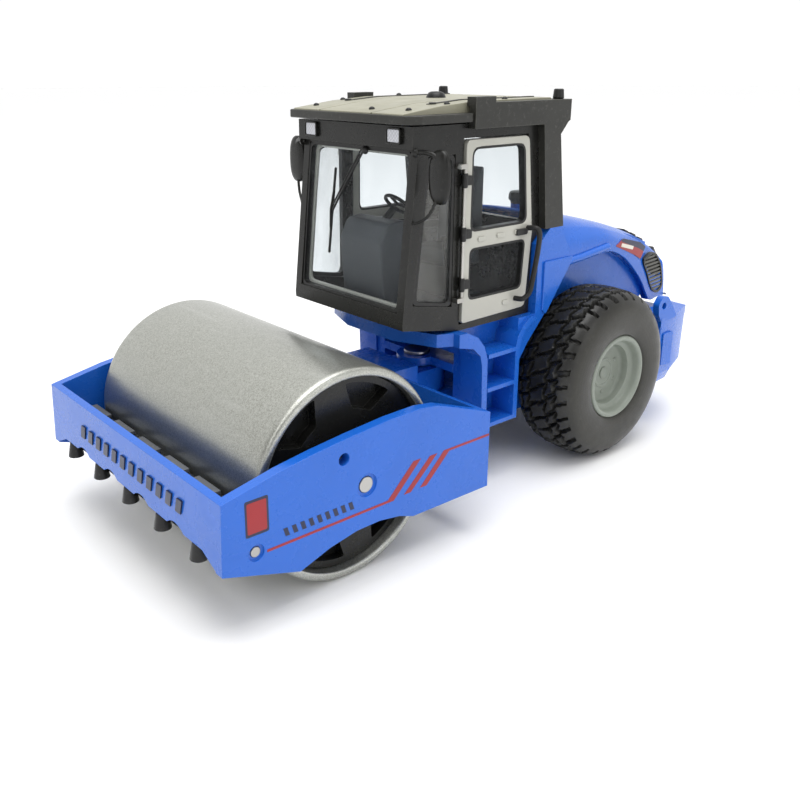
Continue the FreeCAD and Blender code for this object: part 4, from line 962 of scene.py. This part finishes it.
def rear_grilles():
    """Black slatted openings over the tail, and the louvres ahead of them."""
    louvres = []
    slats = []
    for side in (1, -1):
        for row in range(3):
            z = 41.3 + row * 1.6
            x = -45.7 + row * 1.05
            low, high = sorted((side * 1.4, side * 11.0))
            slats.append(brick("slot", (x - 0.75, x + 1.0), (low, high), (z - 0.42, z + 0.42)))
        for row in range(3):
            x = -37.4 + row * 3.6
            z = between([(-28.8, 52.2), (-33.6, 50.4), (-36.5, 49.1), (-39.5, 47.6)], x)
            low, high = sorted((side * 1.6, side * 10.6))
            rise = 0.46
            louvre = [(x - 1.2, z - rise - 0.6), (x + 1.2, z + rise - 0.6), (x + 1.2, z + rise + 0.12),
                      (x - 1.2, z - rise + 0.12)]
            louvres.append(plate("louvre", [louvre], low, high))
    backing = [(-46.15, 40.5), (-44.75, 43.5), (-43.1, 45.6), (-42.6, 45.0), (-44.2, 43.0), (-45.5, 40.2)]
    backs = [plate("back", [backing], *sorted((side * 1.0, side * 11.4))) for side in (1, -1)]
    finish_piece("tail_slot_backs", merged("backs", *backs), "hood_shell", ENGINE, bevel=0.12,
                 segments=2)
    finish_piece("tail_slots", merged("slots", *slats), "hood_shell", SLAT, bevel=0.2,
                 segments=2, replaces=("hood_rear_grille",))
    finish_piece("hood_louvres", merged("louvres", *louvres), "hood_shell", TRIM, bevel=0.3,
                 segments=2, replaces=("hood_louvre_insert",))


rear_grilles()


def intake():
    cap = [(0.0, 64.6), (1.9, 64.55), (2.35, 64.35), (2.6, 63.9), (2.7, 63.2), (2.7, 62.5), (2.55, 62.25),
           (2.2, 62.2), (2.1, 61.4), (0.0, 61.4)]
    points = []
    steps = 48
    for k in range(steps):
        turn = FULL_TURN * k / steps
        ripple = 0.12 if k % 4 < 2 else 0.0
        for r, z in cap:
            reach = r - (ripple if 62.3 < z < 64.0 and r > 2.4 else 0.0)
            points.append((3.4 + reach * math.cos(turn), reach * math.sin(turn), z))
    size = len(cap)
    faces = ring_faces(round_starts(steps, size), size, closed=False)
    finish_piece("intake_cap_ribbed", mesh_of("intake", points, faces), "hood_shell", TRIM,
                 replaces=("intake_cap",), smooth=40)


intake()


def badge(side):
    """The plain flash ahead of the side grille, in red, navy and cream."""
    def plane(u, v, w):
        return (u, side * (flank(u) + w), v)

    red = [(-14.9, 50.4), (-19.2, 51.7), (-28.2, 49.5), (-31.2, 47.8), (-29.1, 44.8), (-24.9, 46.7)]
    black = [(-17.6, 51.25), (-19.2, 51.75), (-28.2, 49.55), (-31.25, 47.85), (-30.4, 46.7), (-27.4, 48.0)]
    cream = [(-18.2, 50.7), (-24.6, 49.0), (-24.2, 48.1), (-17.8, 49.8)]
    name = side_name(side)
    for word, shape, material, lift in (("red", red, RED, 0.10), ("black", black, NAVY, 0.12),
                                        ("cream", cream, CREAM, 0.14)):
        mesh = plate(word, [rounded(shape, 0.25, 3)], -0.3, lift, plane)
        finish_piece(f"flash_{word}_{name}", mesh, "hood_shell", material)


# ---------------------------------------------------------------- roof

def roof():
    plan = [(15.2, -20.6), (43.8, -20.6), (43.8, -21.2), (58.0, -21.2), (61.2, -19.4), (61.3, 0),
            (61.2, 19.4), (58.0, 21.2), (43.8, 21.2), (43.8, 20.6), (15.2, 20.6)]
    base = plate("roof_base", [rounded(plan, [0, 0, 0, 0.8, 1.0, 0, 1.0, 0.8, 0, 0, 0], 4)], 84.4, 86.2,
                 top_plane)
    finish_piece("roof_base_plate", base, "rear_unit", ROOF, bevel=0.35,
                 replaces=("roof_panel",))

    def crown_z(x):
        return between([(61, 86.3), (60.4, 86.5), (50, 87.7), (40, 88.4), (15, 88.6)], x)

    ribs = []
    for low, high in ((-18.4, -9.0), (-8.4, 8.4), (9.0, 18.4)):
        side_on = rounded([(15.6, 85.6), (60.7, 85.6), (60.7, 86.5), (50.0, 87.8), (40.0, 88.5),
                           (15.6, 88.6)],
                          [0, 0, 0.2, 5.0, 5.0, 0.4], 5)
        ribs.append(plate("rib", [side_on], low, high))
    finish_piece("roof_crown", merged("ribs", *ribs), "rear_unit", ROOF_TOP, bevel=0.35)
    strips = [plate("strip", [rounded([(16.4, 88.2), (40.0, 88.1), (49.5, 87.4), (49.5, 88.0), (40.0, 88.7),
                                       (16.4, 88.8)], 0.1, 2)],
                    y - 0.5, y + 0.5) for y in (-13.6, 13.6)]
    finish_piece("roof_strips", merged("strips", *strips), "rear_unit", ROOF, bevel=0.12,
                 segments=2)
    bolts = [dome("bolt", (x, y, crown_z(x)), (0, 0, 1), 0.7, 0.6, 16, 4)
             for x, y in ((56.5, 15.5), (56.5, -15.5), (57.3, 5.0), (47.5, 17.2), (47.5, -17.2), (30, 17.2),
                          (30, -17.2))]
    finish_piece("roof_studs", merged("studs", *bolts), "rear_unit", TRIM)


roof()


def beacon():
    profile = [(2.4, 87.9), (2.45, 88.1), (2.2, 88.8), (2.0, 89.2), (1.7, 89.6), (1.1, 89.85), (0.0, 89.9)]
    points = []
    steps = 36
    for k in range(steps):
        turn = FULL_TURN * k / steps
        points += [(34 + r * math.cos(turn), r * math.sin(turn), z) for r, z in profile]
    size = len(profile)
    faces = ring_faces(round_starts(steps, size), size, closed=False)
    finish_piece("roof_cap", mesh_of("beacon", points, faces), "rear_unit", TRIM,
                 replaces=("roof_beacon",), smooth=45)


beacon()


# ---------------------------------------------------------------- cab glazing

def windscreen_x(z):
    """Where the cab's front face stands at this height."""
    return 60.9 - (z - 42.4) * 3.7 / 37.2


def front_glazing():
    def plane(u, v, w):
        return (windscreen_x(v) + w, u, v)

    opening = rounded([(-17.2, 45.8), (17.2, 45.8), (17.2, 79.0), (-17.2, 79.0)], 1.2, 5)
    lip = rounded([(-16.6, 46.4), (16.6, 46.4), (16.6, 78.4), (-16.6, 78.4)], 1.4, 5)
    sheet = plate("screen", [rounded([(-17.1, 45.95), (17.1, 45.95), (17.1, 78.85), (-17.1, 78.85)], 1.1, 5)],
                  -1.25, -0.75, plane)
    finish_piece("windscreen_sheet", sheet, "rear_unit", GLASS, replaces=("windshield",))
    seal = plate("seal", [opening, lip], -1.5, -0.1, plane)
    finish_piece("windscreen_seal", seal, "rear_unit", TRIM, bevel=0.2, segments=2)
    inner = rounded([(-17.1, 46.1), (17.1, 46.1), (17.1, 78.8), (-17.1, 78.8)], 1.2, 5)
    reveal = rounded([(-16.0, 47.0), (16.0, 47.0), (16.0, 77.8), (-16.0, 77.8)], 1.6, 5)
    trim = plate("trim", [inner, reveal], -2.2, -1.5, plane)
    finish_piece("windscreen_reveal", trim, "rear_unit", BEIGE, bevel=0.15, segments=2)


front_glazing()


keep("rear_window", GLASS, 0.1, 2)


def side_glazing(side):
    def plane(u, v, w):
        return (u, side * w, v)

    name = side_name(side)
    quarter = [(46.6, 45.2), (58.2, 47.4), (54.4, 78.0), (46.6, 78.0)]
    opening = rounded(quarter, [1.4, 1.4, 1.4, 1.4], 5)
    lip = rounded([(47.4, 46.2), (57.1, 48.1), (53.7, 77.2), (47.4, 77.2)], 1.5, 5)
    sheet = plate("quarter", [opening], 18.0, 18.4, plane)
    finish_piece(f"quarter_sheet_{name}", sheet, "rear_unit", SMOKED,
                 replaces=(f"quarter_glass_{name}",))
    seal = plate("quarter_seal", [opening, lip], 17.9, 19.2, plane)
    finish_piece(f"quarter_seal_{name}", seal, "rear_unit", TRIM, bevel=0.18, segments=2)


for side in (1, -1):
    side_glazing(side)


def door(side):
    """Door panel with two rounded windows, seals, latch plates and a grab bar."""
    def plane(u, v, w):
        return (u, side * w, v)

    name = side_name(side)
    body = f"{name}_door"
    low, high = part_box(f"door_{name}")
    faces = sorted((abs(low.y), abs(high.y)))
    inner_face, outer_face = faces[0] / MM, faces[1] / MM
    panel_out = min(outer_face, 20.9)
    outline = rounded([(44.0, 41.0), (44.0, 80.8), (24.2, 80.8), (21.7, 59.0), (23.0, 41.4)],
                      [0.8, 1.6, 1.8, 1.2, 1.6], 6)
    upper = rounded([(42.2, 61.2), (42.2, 79.2), (25.4, 79.2), (23.6, 61.2)], [1.8, 2.2, 2.4, 1.8], 6)
    lower = rounded([(42.2, 46.0), (42.2, 57.6), (23.8, 57.6), (24.6, 46.0)], [1.6, 1.6, 1.8, 1.8], 6)
    panel = plate("door_panel", [outline, upper, lower], inner_face, panel_out, plane)
    finish_piece(f"door_panel_{name}", panel, body, BEIGE, bevel=0.35, segments=3,
                 replaces=(f"door_{name}",))
    seals = []
    for corners, radii in (([(42.3, 61.1), (42.3, 79.3), (25.3, 79.3), (23.5, 61.1)], 2.2),
                           ([(42.3, 45.9), (42.3, 57.7), (23.7, 57.7), (24.5, 45.9)], 1.8)):
        centre = sum((Vector(c) for c in corners), Vector((0, 0))) / 4
        edge = rounded(corners, radii, 6)
        inset = [(u - math.copysign(0.6, u - centre.x), v - math.copysign(0.6, v - centre.y))
                 for u, v in corners]
        hole = rounded(inset, max(0.8, radii - 0.5), 6)
        seals.append(plate("seal", [edge, hole], inner_face + 0.2, panel_out - 0.12, plane))
    finish_piece(f"door_seals_{name}", merged("seals", *seals), body, TRIM, bevel=0.12,
                 segments=2)
    sheets = [plate("sheet", [rounded([(42.2, 61.2), (42.2, 79.2), (25.4, 79.2), (23.6, 61.2)], 2.0, 6)],
                    inner_face + 0.4, inner_face + 0.7, plane),
              plate("sheet", [rounded([(42.2, 46.0), (42.2, 57.6), (23.8, 57.6), (24.6, 46.0)], 1.6, 6)],
                    inner_face + 0.4, inner_face + 0.7, plane)]
    finish_piece(f"door_sheets_{name}", merged("sheets", *sheets), body, GLASS,
                 replaces=(f"door_glass_{name}",))
    fittings = []
    for u, v, length in ((38.8, 59.4, 2.2), (32.6, 59.5, 2.4), (27.0, 59.5, 1.6), (30.0, 43.6, 2.0)):
        pad = rounded([(u - length / 2, v - 0.55), (u + length / 2, v - 0.55), (u + length / 2, v + 0.55),
                       (u - length / 2, v + 0.55)], 0.5, 4)
        fittings.append(plate("pad", [pad], panel_out - 0.2, panel_out + 0.32, plane))
    finish_piece(f"door_bosses_{name}", merged("bosses", *fittings), body, BEIGE, bevel=0.15,
                 segments=2)
    handle = rounded([(23.9, 58.7), (27.6, 58.7), (27.6, 60.1), (23.9, 60.1)], 0.5, 4)
    latch = plate("latch", [handle], panel_out - 0.2, min(panel_out + 0.7, 21.8), plane)
    finish_piece(f"door_latch_{name}", latch, body, TRIM, bevel=0.2, segments=2)
    mid = 22.6 if side > 0 else -22.6
    start = side * (panel_out - 0.1)
    bar = smooth_path([(23.4, start, 60.0), (22.7, side * 21.9, 60.1), (22.2, mid, 58.9), (22.4, mid, 55.2),
                       (23.7, mid, 48.6), (24.6, mid, 45.6), (25.9, side * 21.9, 44.1),
                       (26.6, start, 43.9)], 7)
    finish_piece(f"grab_rail_{name}", tube("rail", bar, 0.62, 16), body, TRIM,
                 replaces=(f"grab_bar_{name}",), smooth=60)


def door_hinges(side):
    """Three slim hinges: a round barrel on the pin, with a leaf on the door."""
    name = side_name(side)
    parts = []
    for low in (48.5, 59.6, 71.0):
        pin = [(44.6, side * 20.25, low + 0.2), (44.6, side * 20.25, low + 2.8)]
        parts.append(tube("barrel", pin, 0.62, 16))
        leaf = rounded([(42.5, low + 0.5), (44.4, low + 0.5), (44.4, low + 2.5), (42.5, low + 2.5)], 0.4, 4)
        parts.append(plate("leaf", [leaf], *sorted((side * 20.1, side * 20.75))))
    finish_piece(f"door_hinge_{name}_set", merged("hinges", *parts), BODY_OF[f"door_hinges_{name}"],
                 TRIM, replaces=(f"door_hinges_{name}",), smooth=40)


for side in (1, -1):
    door(side)
    door_hinges(side)


# ---------------------------------------------------------------- mirrors, lamps, wiper

def mirror(side):
    """An upright oval housing with its silvered face to the rear, on a bent arm."""
    name = side_name(side)
    centre = (56.0, side * 24.1, 74.4)
    half_y, half_z = 2.8, 5.4
    steps, rings = 40, 8

    def oval(middle, wide, tall):
        ring = []
        for k in range(steps):
            c, s = math.cos(FULL_TURN * k / steps), math.sin(FULL_TURN * k / steps)
            ring.append((middle[1] + math.copysign(abs(c) ** 0.75, c) * wide,
                         middle[2] + math.copysign(abs(s) ** 0.8, s) * tall))
        return ring

    points = []
    levels = []
    for k in range(rings + 1):
        t = k / rings
        levels.append((1.0 * math.sin(t * math.pi / 2), math.cos(t * math.pi / 2) ** 0.55 if t < 1 else 0.0))
    for forward, share in levels:
        points += [(centre[0] - 0.1 + forward, y, z) for y, z in oval(centre, half_y * share, half_z * share)]
    faces = ring_faces(range(0, len(points), steps), steps)
    back = len(points)
    for x, share_y, share_z in ((-0.55, 1.0, 1.0), (-0.62, 0.86, 0.94), (-0.40, 0.80, 0.88)):
        points += [(centre[0] + x, y, z) for y, z in oval(centre, half_y * share_y, half_z * share_z)]
    faces += ring_faces((0, back, back + steps, back + 2 * steps), steps)
    faces.append(tuple(back + 2 * steps + k for k in range(steps)))
    housing = mesh_of("housing", points, faces)
    arm = tube("arm", smooth_path([(57.6, side * 19.0, 79.0), (57.3, side * 20.6, 79.2),
                                   (56.8, side * 22.2, 79.0), (56.4, side * 23.4, 78.4),
                                   (56.2, side * 24.0, 77.0)], 6), 0.5, 14)
    lower = tube("stay", smooth_path([(58.6, side * 19.0, 64.8), (57.6, side * 20.8, 65.4),
                                      (56.8, side * 22.6, 67.2), (56.3, side * 23.6, 69.6)], 5), 0.32, 12)
    knuckle = dome("knuckle", (57.8, side * 19.2, 79.0), (0, side, 0), 0.95, 0.7, 18, 4)
    finish_piece(f"mirror_{name}_housing", merged("mirror", housing, arm, lower, knuckle), "rear_unit",
                 CAB, replaces=(f"mirror_{name}",), smooth=42)
    face = plate("mirror_face", [oval(centre, half_y * 0.79, half_z * 0.87)], centre[0] - 0.55,
                 centre[0] - 0.3, front_plane)
    finish_piece(f"mirror_{name}_glass", face, "rear_unit", STEEL)


for side in (1, -1):
    mirror(side)


def work_lights():
    bezels = []
    lenses = []
    for y in (-14.0, 14.0):
        outer = rounded([(y - 2.2, 80.4), (y + 2.2, 80.4), (y + 2.2, 83.7), (y - 2.2, 83.7)], 0.6, 4)
        inner = rounded([(y - 1.85, 80.75), (y + 1.85, 80.75), (y + 1.85, 83.35), (y - 1.85, 83.35)], 0.4, 4)
        bezels.append(plate("bezel", [outer, inner], 58.6, 59.5, front_plane))
        lenses.append(plate("lens", [inner], 58.6, 59.3, front_plane))
    finish_piece("work_light_bezels", merged("bezels", *bezels), "rear_unit", CAB, bevel=0.15,
                 segments=2, replaces=("work_lights",))
    finish_piece("work_light_lenses", merged("lenses", *lenses), "rear_unit", LAMP, bevel=0.12,
                 segments=2)


work_lights()


def wiper():
    def on_screen(y, z, lift=0.0):
        return (windscreen_x(z) + 0.1 + lift, y, z)

    parts = [dome("pivot", on_screen(3.0, 78.4, 0.1), (1, 0, 0.1), 0.9, 0.7, 18, 4)]
    for word, radius, spots in (
            ("arm", 0.26, ((3.0, 78.4, 0.5), (-1.8, 71.5, 0.62), (-6.6, 64.6, 0.3))),
            ("link", 0.20, ((2.2, 78.6, 0.4), (-2.5, 71.9, 0.45), (-7.1, 65.2, 0.25))),
            ("blade", 0.30, ((-6.9, 73.8, -0.05), (-7.1, 64.6, -0.02), (-7.3, 55.0, -0.05))),
            ("bridge", 0.24, ((-6.9, 68.6, 0.15), (-7.1, 64.6, 0.5), (-7.2, 60.6, 0.15)))):
        parts.append(tube(word, [on_screen(*spot) for spot in spots], radius, 10))
    finish_piece("wiper_arm", merged("wiper", *parts), "rear_unit", TRIM, replaces=("wiper",),
                 smooth=50)


wiper()


# ---------------------------------------------------------------- cab interior

def seat():
    squab = rounded([(24.4, 49.6), (36.6, 50.4), (37.0, 52.6), (35.6, 54.2), (25.0, 53.4)],
                    [0.8, 1.2, 1.2, 1.6, 0.8], 5)
    cushion = plate("cushion", [squab], -6.6, 6.6)
    back = plate("back", [rounded([(22.9, 52.6), (27.4, 53.0), (27.0, 60.0), (25.8, 68.6), (24.2, 72.6),
                                   (22.9, 72.6)], [0.6, 1.4, 0, 2.0, 0.8, 0.6], 5)], -5.6, 5.6)
    finish_piece("seat_cushion", merged("seat", cushion, back), "rear_unit", INTERIOR, bevel=0.9,
                 segments=4, replaces=("seat",))
    foot = rounded([(25.6, 42.4), (35.4, 42.4), (34.6, 49.9), (26.4, 49.8)], 0.8, 4)
    base = plate("base", [foot], -5.2, 5.2)
    rests = [plate("rest", [rounded([(24.8, 57.0), (34.6, 57.4), (34.8, 59.0), (24.8, 58.8)], 0.7, 5)],
                   *sorted((side * 6.1, side * 7.9))) for side in (1, -1)]
    finish_piece("seat_base", merged("base", base, *rests), "rear_unit", ENGINE, bevel=0.4,
                 segments=3)


seat()


def console():
    body = plate("console", [rounded([(47.6, 43.6), (55.4, 43.6), (56.2, 50.6), (56.6, 58.6), (54.4, 62.6),
                                      (50.2, 63.0), (45.6, 58.8), (47.2, 54.0)],
                                     [0.6, 0.8, 2.0, 2.4, 2.2, 1.8, 1.4, 2.0], 6)], -7.2, 7.2)
    finish_piece("console_shell", body, "rear_unit", INTERIOR, bevel=1.6, segments=5,
                 replaces=("console",))
    panel = plate("panel", [rounded([(-5.6, 58.6), (5.6, 58.6), (5.0, 62.2), (-5.0, 62.2)], 0.8, 5)],
                  46.6, 49.8, front_plane)
    finish_piece("console_panel", panel, "rear_unit", ENGINE, bevel=0.3, segments=3)
    column = tube("column", [(51.5, 0, 60.0), (46.8, 0, 64.4)], 0.9, 16)
    ring = []
    axis = Vector((-0.68, 0, 0.73)).normalized()
    side_way = Vector((0, 1, 0))
    up_way = axis.cross(side_way)
    centre = Vector((45.4, 0, 65.3))
    turns, around = 48, 12
    for k in range(turns):
        turn = FULL_TURN * k / turns
        out = side_way * math.cos(turn) + up_way * math.sin(turn)
        for j in range(around):
            small = FULL_TURN * j / around
            ring.append(tuple(centre + out * (3.25 + 0.42 * math.cos(small)) + axis * 0.42 * math.sin(small)))
    wheel = mesh_of("wheel", ring, ring_faces(round_starts(turns, around), around))
    spokes = []
    for turn in (0.3, math.pi - 0.3, 1.5 * math.pi):
        tip = centre + (side_way * math.cos(turn) + up_way * math.sin(turn)) * 3.2
        spokes.append(tube("spoke", [centre, tip], 0.36, 10))
    finish_piece("steering_ring", merged("steering", wheel, column, *spokes), "rear_unit", TRIM,
                 replaces=("steering_wheel",), smooth=50)
    lever = tube("lever", smooth_path([(38.0, 8.8, 50.0), (38.6, 8.8, 54.0), (39.6, 9.152, 58.2)], 4),
                 [0.35] * 8 + [0.75], 10)
    finish_piece("side_lever", lever, "rear_unit", TRIM, smooth=50)


console()


# ---------------------------------------------------------------- prints and small marks

def side_prints(side):
    """Plain prints on a side plate: three slanted bars with a line, a framed block and a row of marks."""
    def plane(u, v, w):
        return (u, side * w, v)

    name = side_name(side)
    base, proud = 36.6, 36.84
    shapes = [[(107.5, 16.15), (107.5, 16.65), (80.1, 16.65), (73.6, 22.9), (71.6, 22.9), (78.6, 16.15)],
              [(76.0, 16.5), (74.2, 16.5), (67.2, 22.7), (69.2, 22.7)],
              [(71.8, 16.6), (70.0, 16.6), (63.9, 22.25), (52.3, 22.25), (52.3, 22.75), (65.4, 22.75)]]
    block = rounded([(107.3, 20.7), (111.2, 20.7), (111.2, 26.5), (107.3, 26.5)], 0.3, 3)
    meshes = [plate("stripe", [shape], base, proud, plane) for shape in shapes]
    frame_line = rounded([(106.9, 20.2), (111.6, 20.2), (111.6, 27.0), (106.9, 27.0)], 0.4, 3)
    finish_piece(f"side_block_rim_{name}", plate("rim", [frame_line], base, proud - 0.02, plane),
                 "front_unit", NAVY)
    meshes.append(plate("block", [block], base, proud, plane))
    finish_piece(f"side_stripes_{name}", merged("stripes", *meshes), "front_unit", RED)
    hashes = []
    for k in range(9):
        u = 103.6 - k * 1.8
        hashes.append(plate("hash", [[(u, 17.8), (u - 0.9, 17.8), (u - 0.4, 19.4), (u + 0.5, 19.4)]], base,
                            proud, plane))
    finish_piece(f"side_hashes_{name}", merged("hashes", *hashes), "front_unit", NAVY)


def front_hashes():
    """A plain row of slanted bars across the front beam."""
    bars = []
    for k in range(12):
        y = -20.5 + k * 3.8
        bar = [(y, 20.8), (y + 1.9, 20.8), (y + 2.7, 23.6), (y + 0.8, 23.6)]
        bars.append(plate("bar", [bar], 116.2, 116.54, front_plane))
    finish_piece("front_bars", merged("bars", *bars), "front_unit", NAVY)


front_hashes()
for side in (1, -1):
    side_prints(side)
    badge(side)


# ---------------------------------------------------------------- floor, lights and camera

def stage():
    """A pale floor, a world that is white at the horizon and darker high behind the camera, and the lamps."""
    floor_material, tree, shader, coords = new_material("floor_paper")
    drift = noise_of(tree, coords, 60.0, 3.0)
    tree.links.new(blend_colour(tree, drift, (0.93, 0.93, 0.93), (0.95, 0.95, 0.95)),
                   shader.inputs["Base Color"])
    shader.inputs["Roughness"].default_value = 0.7
    bpy.ops.mesh.primitive_circle_add(vertices=96, radius=4.0, fill_type="NGON", location=(0, 0, -0.00005))
    floor = bpy.context.object
    floor.name = "floor"
    floor.data.materials.append(floor_material)
    world = bpy.data.worlds.new("studio")
    bpy.context.scene.world = world
    world.use_nodes = True
    tree = world.node_tree
    back = tree.nodes["Background"]
    coords = tree.nodes.new("ShaderNodeTexCoord")
    facing = node(tree, "ShaderNodeVectorMath", operation="DOT_PRODUCT")
    facing.inputs[1].default_value = (-0.62, -0.75, 0.25)
    tree.links.new(coords.outputs["Generated"], facing.inputs[0])
    direction = tree.nodes.new("ShaderNodeSeparateXYZ")
    tree.links.new(coords.outputs["Generated"], direction.inputs[0])
    backdrop = spread(tree, facing.outputs["Value"], 0.12, 1.03, -0.25, 0.25)
    horizon = spread(tree, maths(tree, "ABSOLUTE", direction.outputs[2]), 1.03, 0.0, 0.16, 0.34)
    tree.links.new(maths(tree, "MAXIMUM", backdrop, horizon), back.inputs["Strength"])
    back.inputs["Color"].default_value = (1.0, 1.0, 1.0, 1)
    for name, place, target, size, energy in (
            ("overhead", (0.02, 0.06, 0.62), (0, 0, 0.03), 0.50, 2.0),
            ("key", (0.55, 0.22, 0.40), (0.02, 0, 0.04), 0.30, 0.45),
            ("side", (-0.14, 0.60, 0.30), (0, 0, 0.04), 0.30, 0.6)):
        data = bpy.data.lights.new(name, "AREA")
        data.shape = "SQUARE"
        data.size = size
        data.energy = energy
        lamp = bpy.data.objects.new(name, data)
        bpy.context.scene.collection.objects.link(lamp)
        lamp.location = place
        lamp.rotation_euler = (Vector(target) - Vector(place)).to_track_quat("-Z", "Y").to_euler()
    sun = bpy.data.lights.new("daylight", "SUN")
    sun.energy = 1.2
    sun.angle = math.radians(60)
    lamp = bpy.data.objects.new("daylight", sun)
    bpy.context.scene.collection.objects.link(lamp)
    lamp.rotation_euler = Vector((-0.25, -0.35, -1.0)).to_track_quat("-Z", "Y").to_euler()


def camera():
    data = bpy.data.cameras.new("camera")
    data.sensor_width = 36
    data.lens = 39.08
    data.shift_x = 0.0457
    data.shift_y = -0.0715
    data.clip_start = 0.01
    view = bpy.data.objects.new("camera", data)
    bpy.context.scene.collection.objects.link(view)
    view.location = (0.1430, 0.1485, 0.0959)
    view.rotation_euler = [math.radians(a) for a in (72.19, 0.20, 140.51)]
    bpy.context.scene.camera = view
    bpy.context.scene.view_settings.view_transform = "Standard"


stage()
camera()
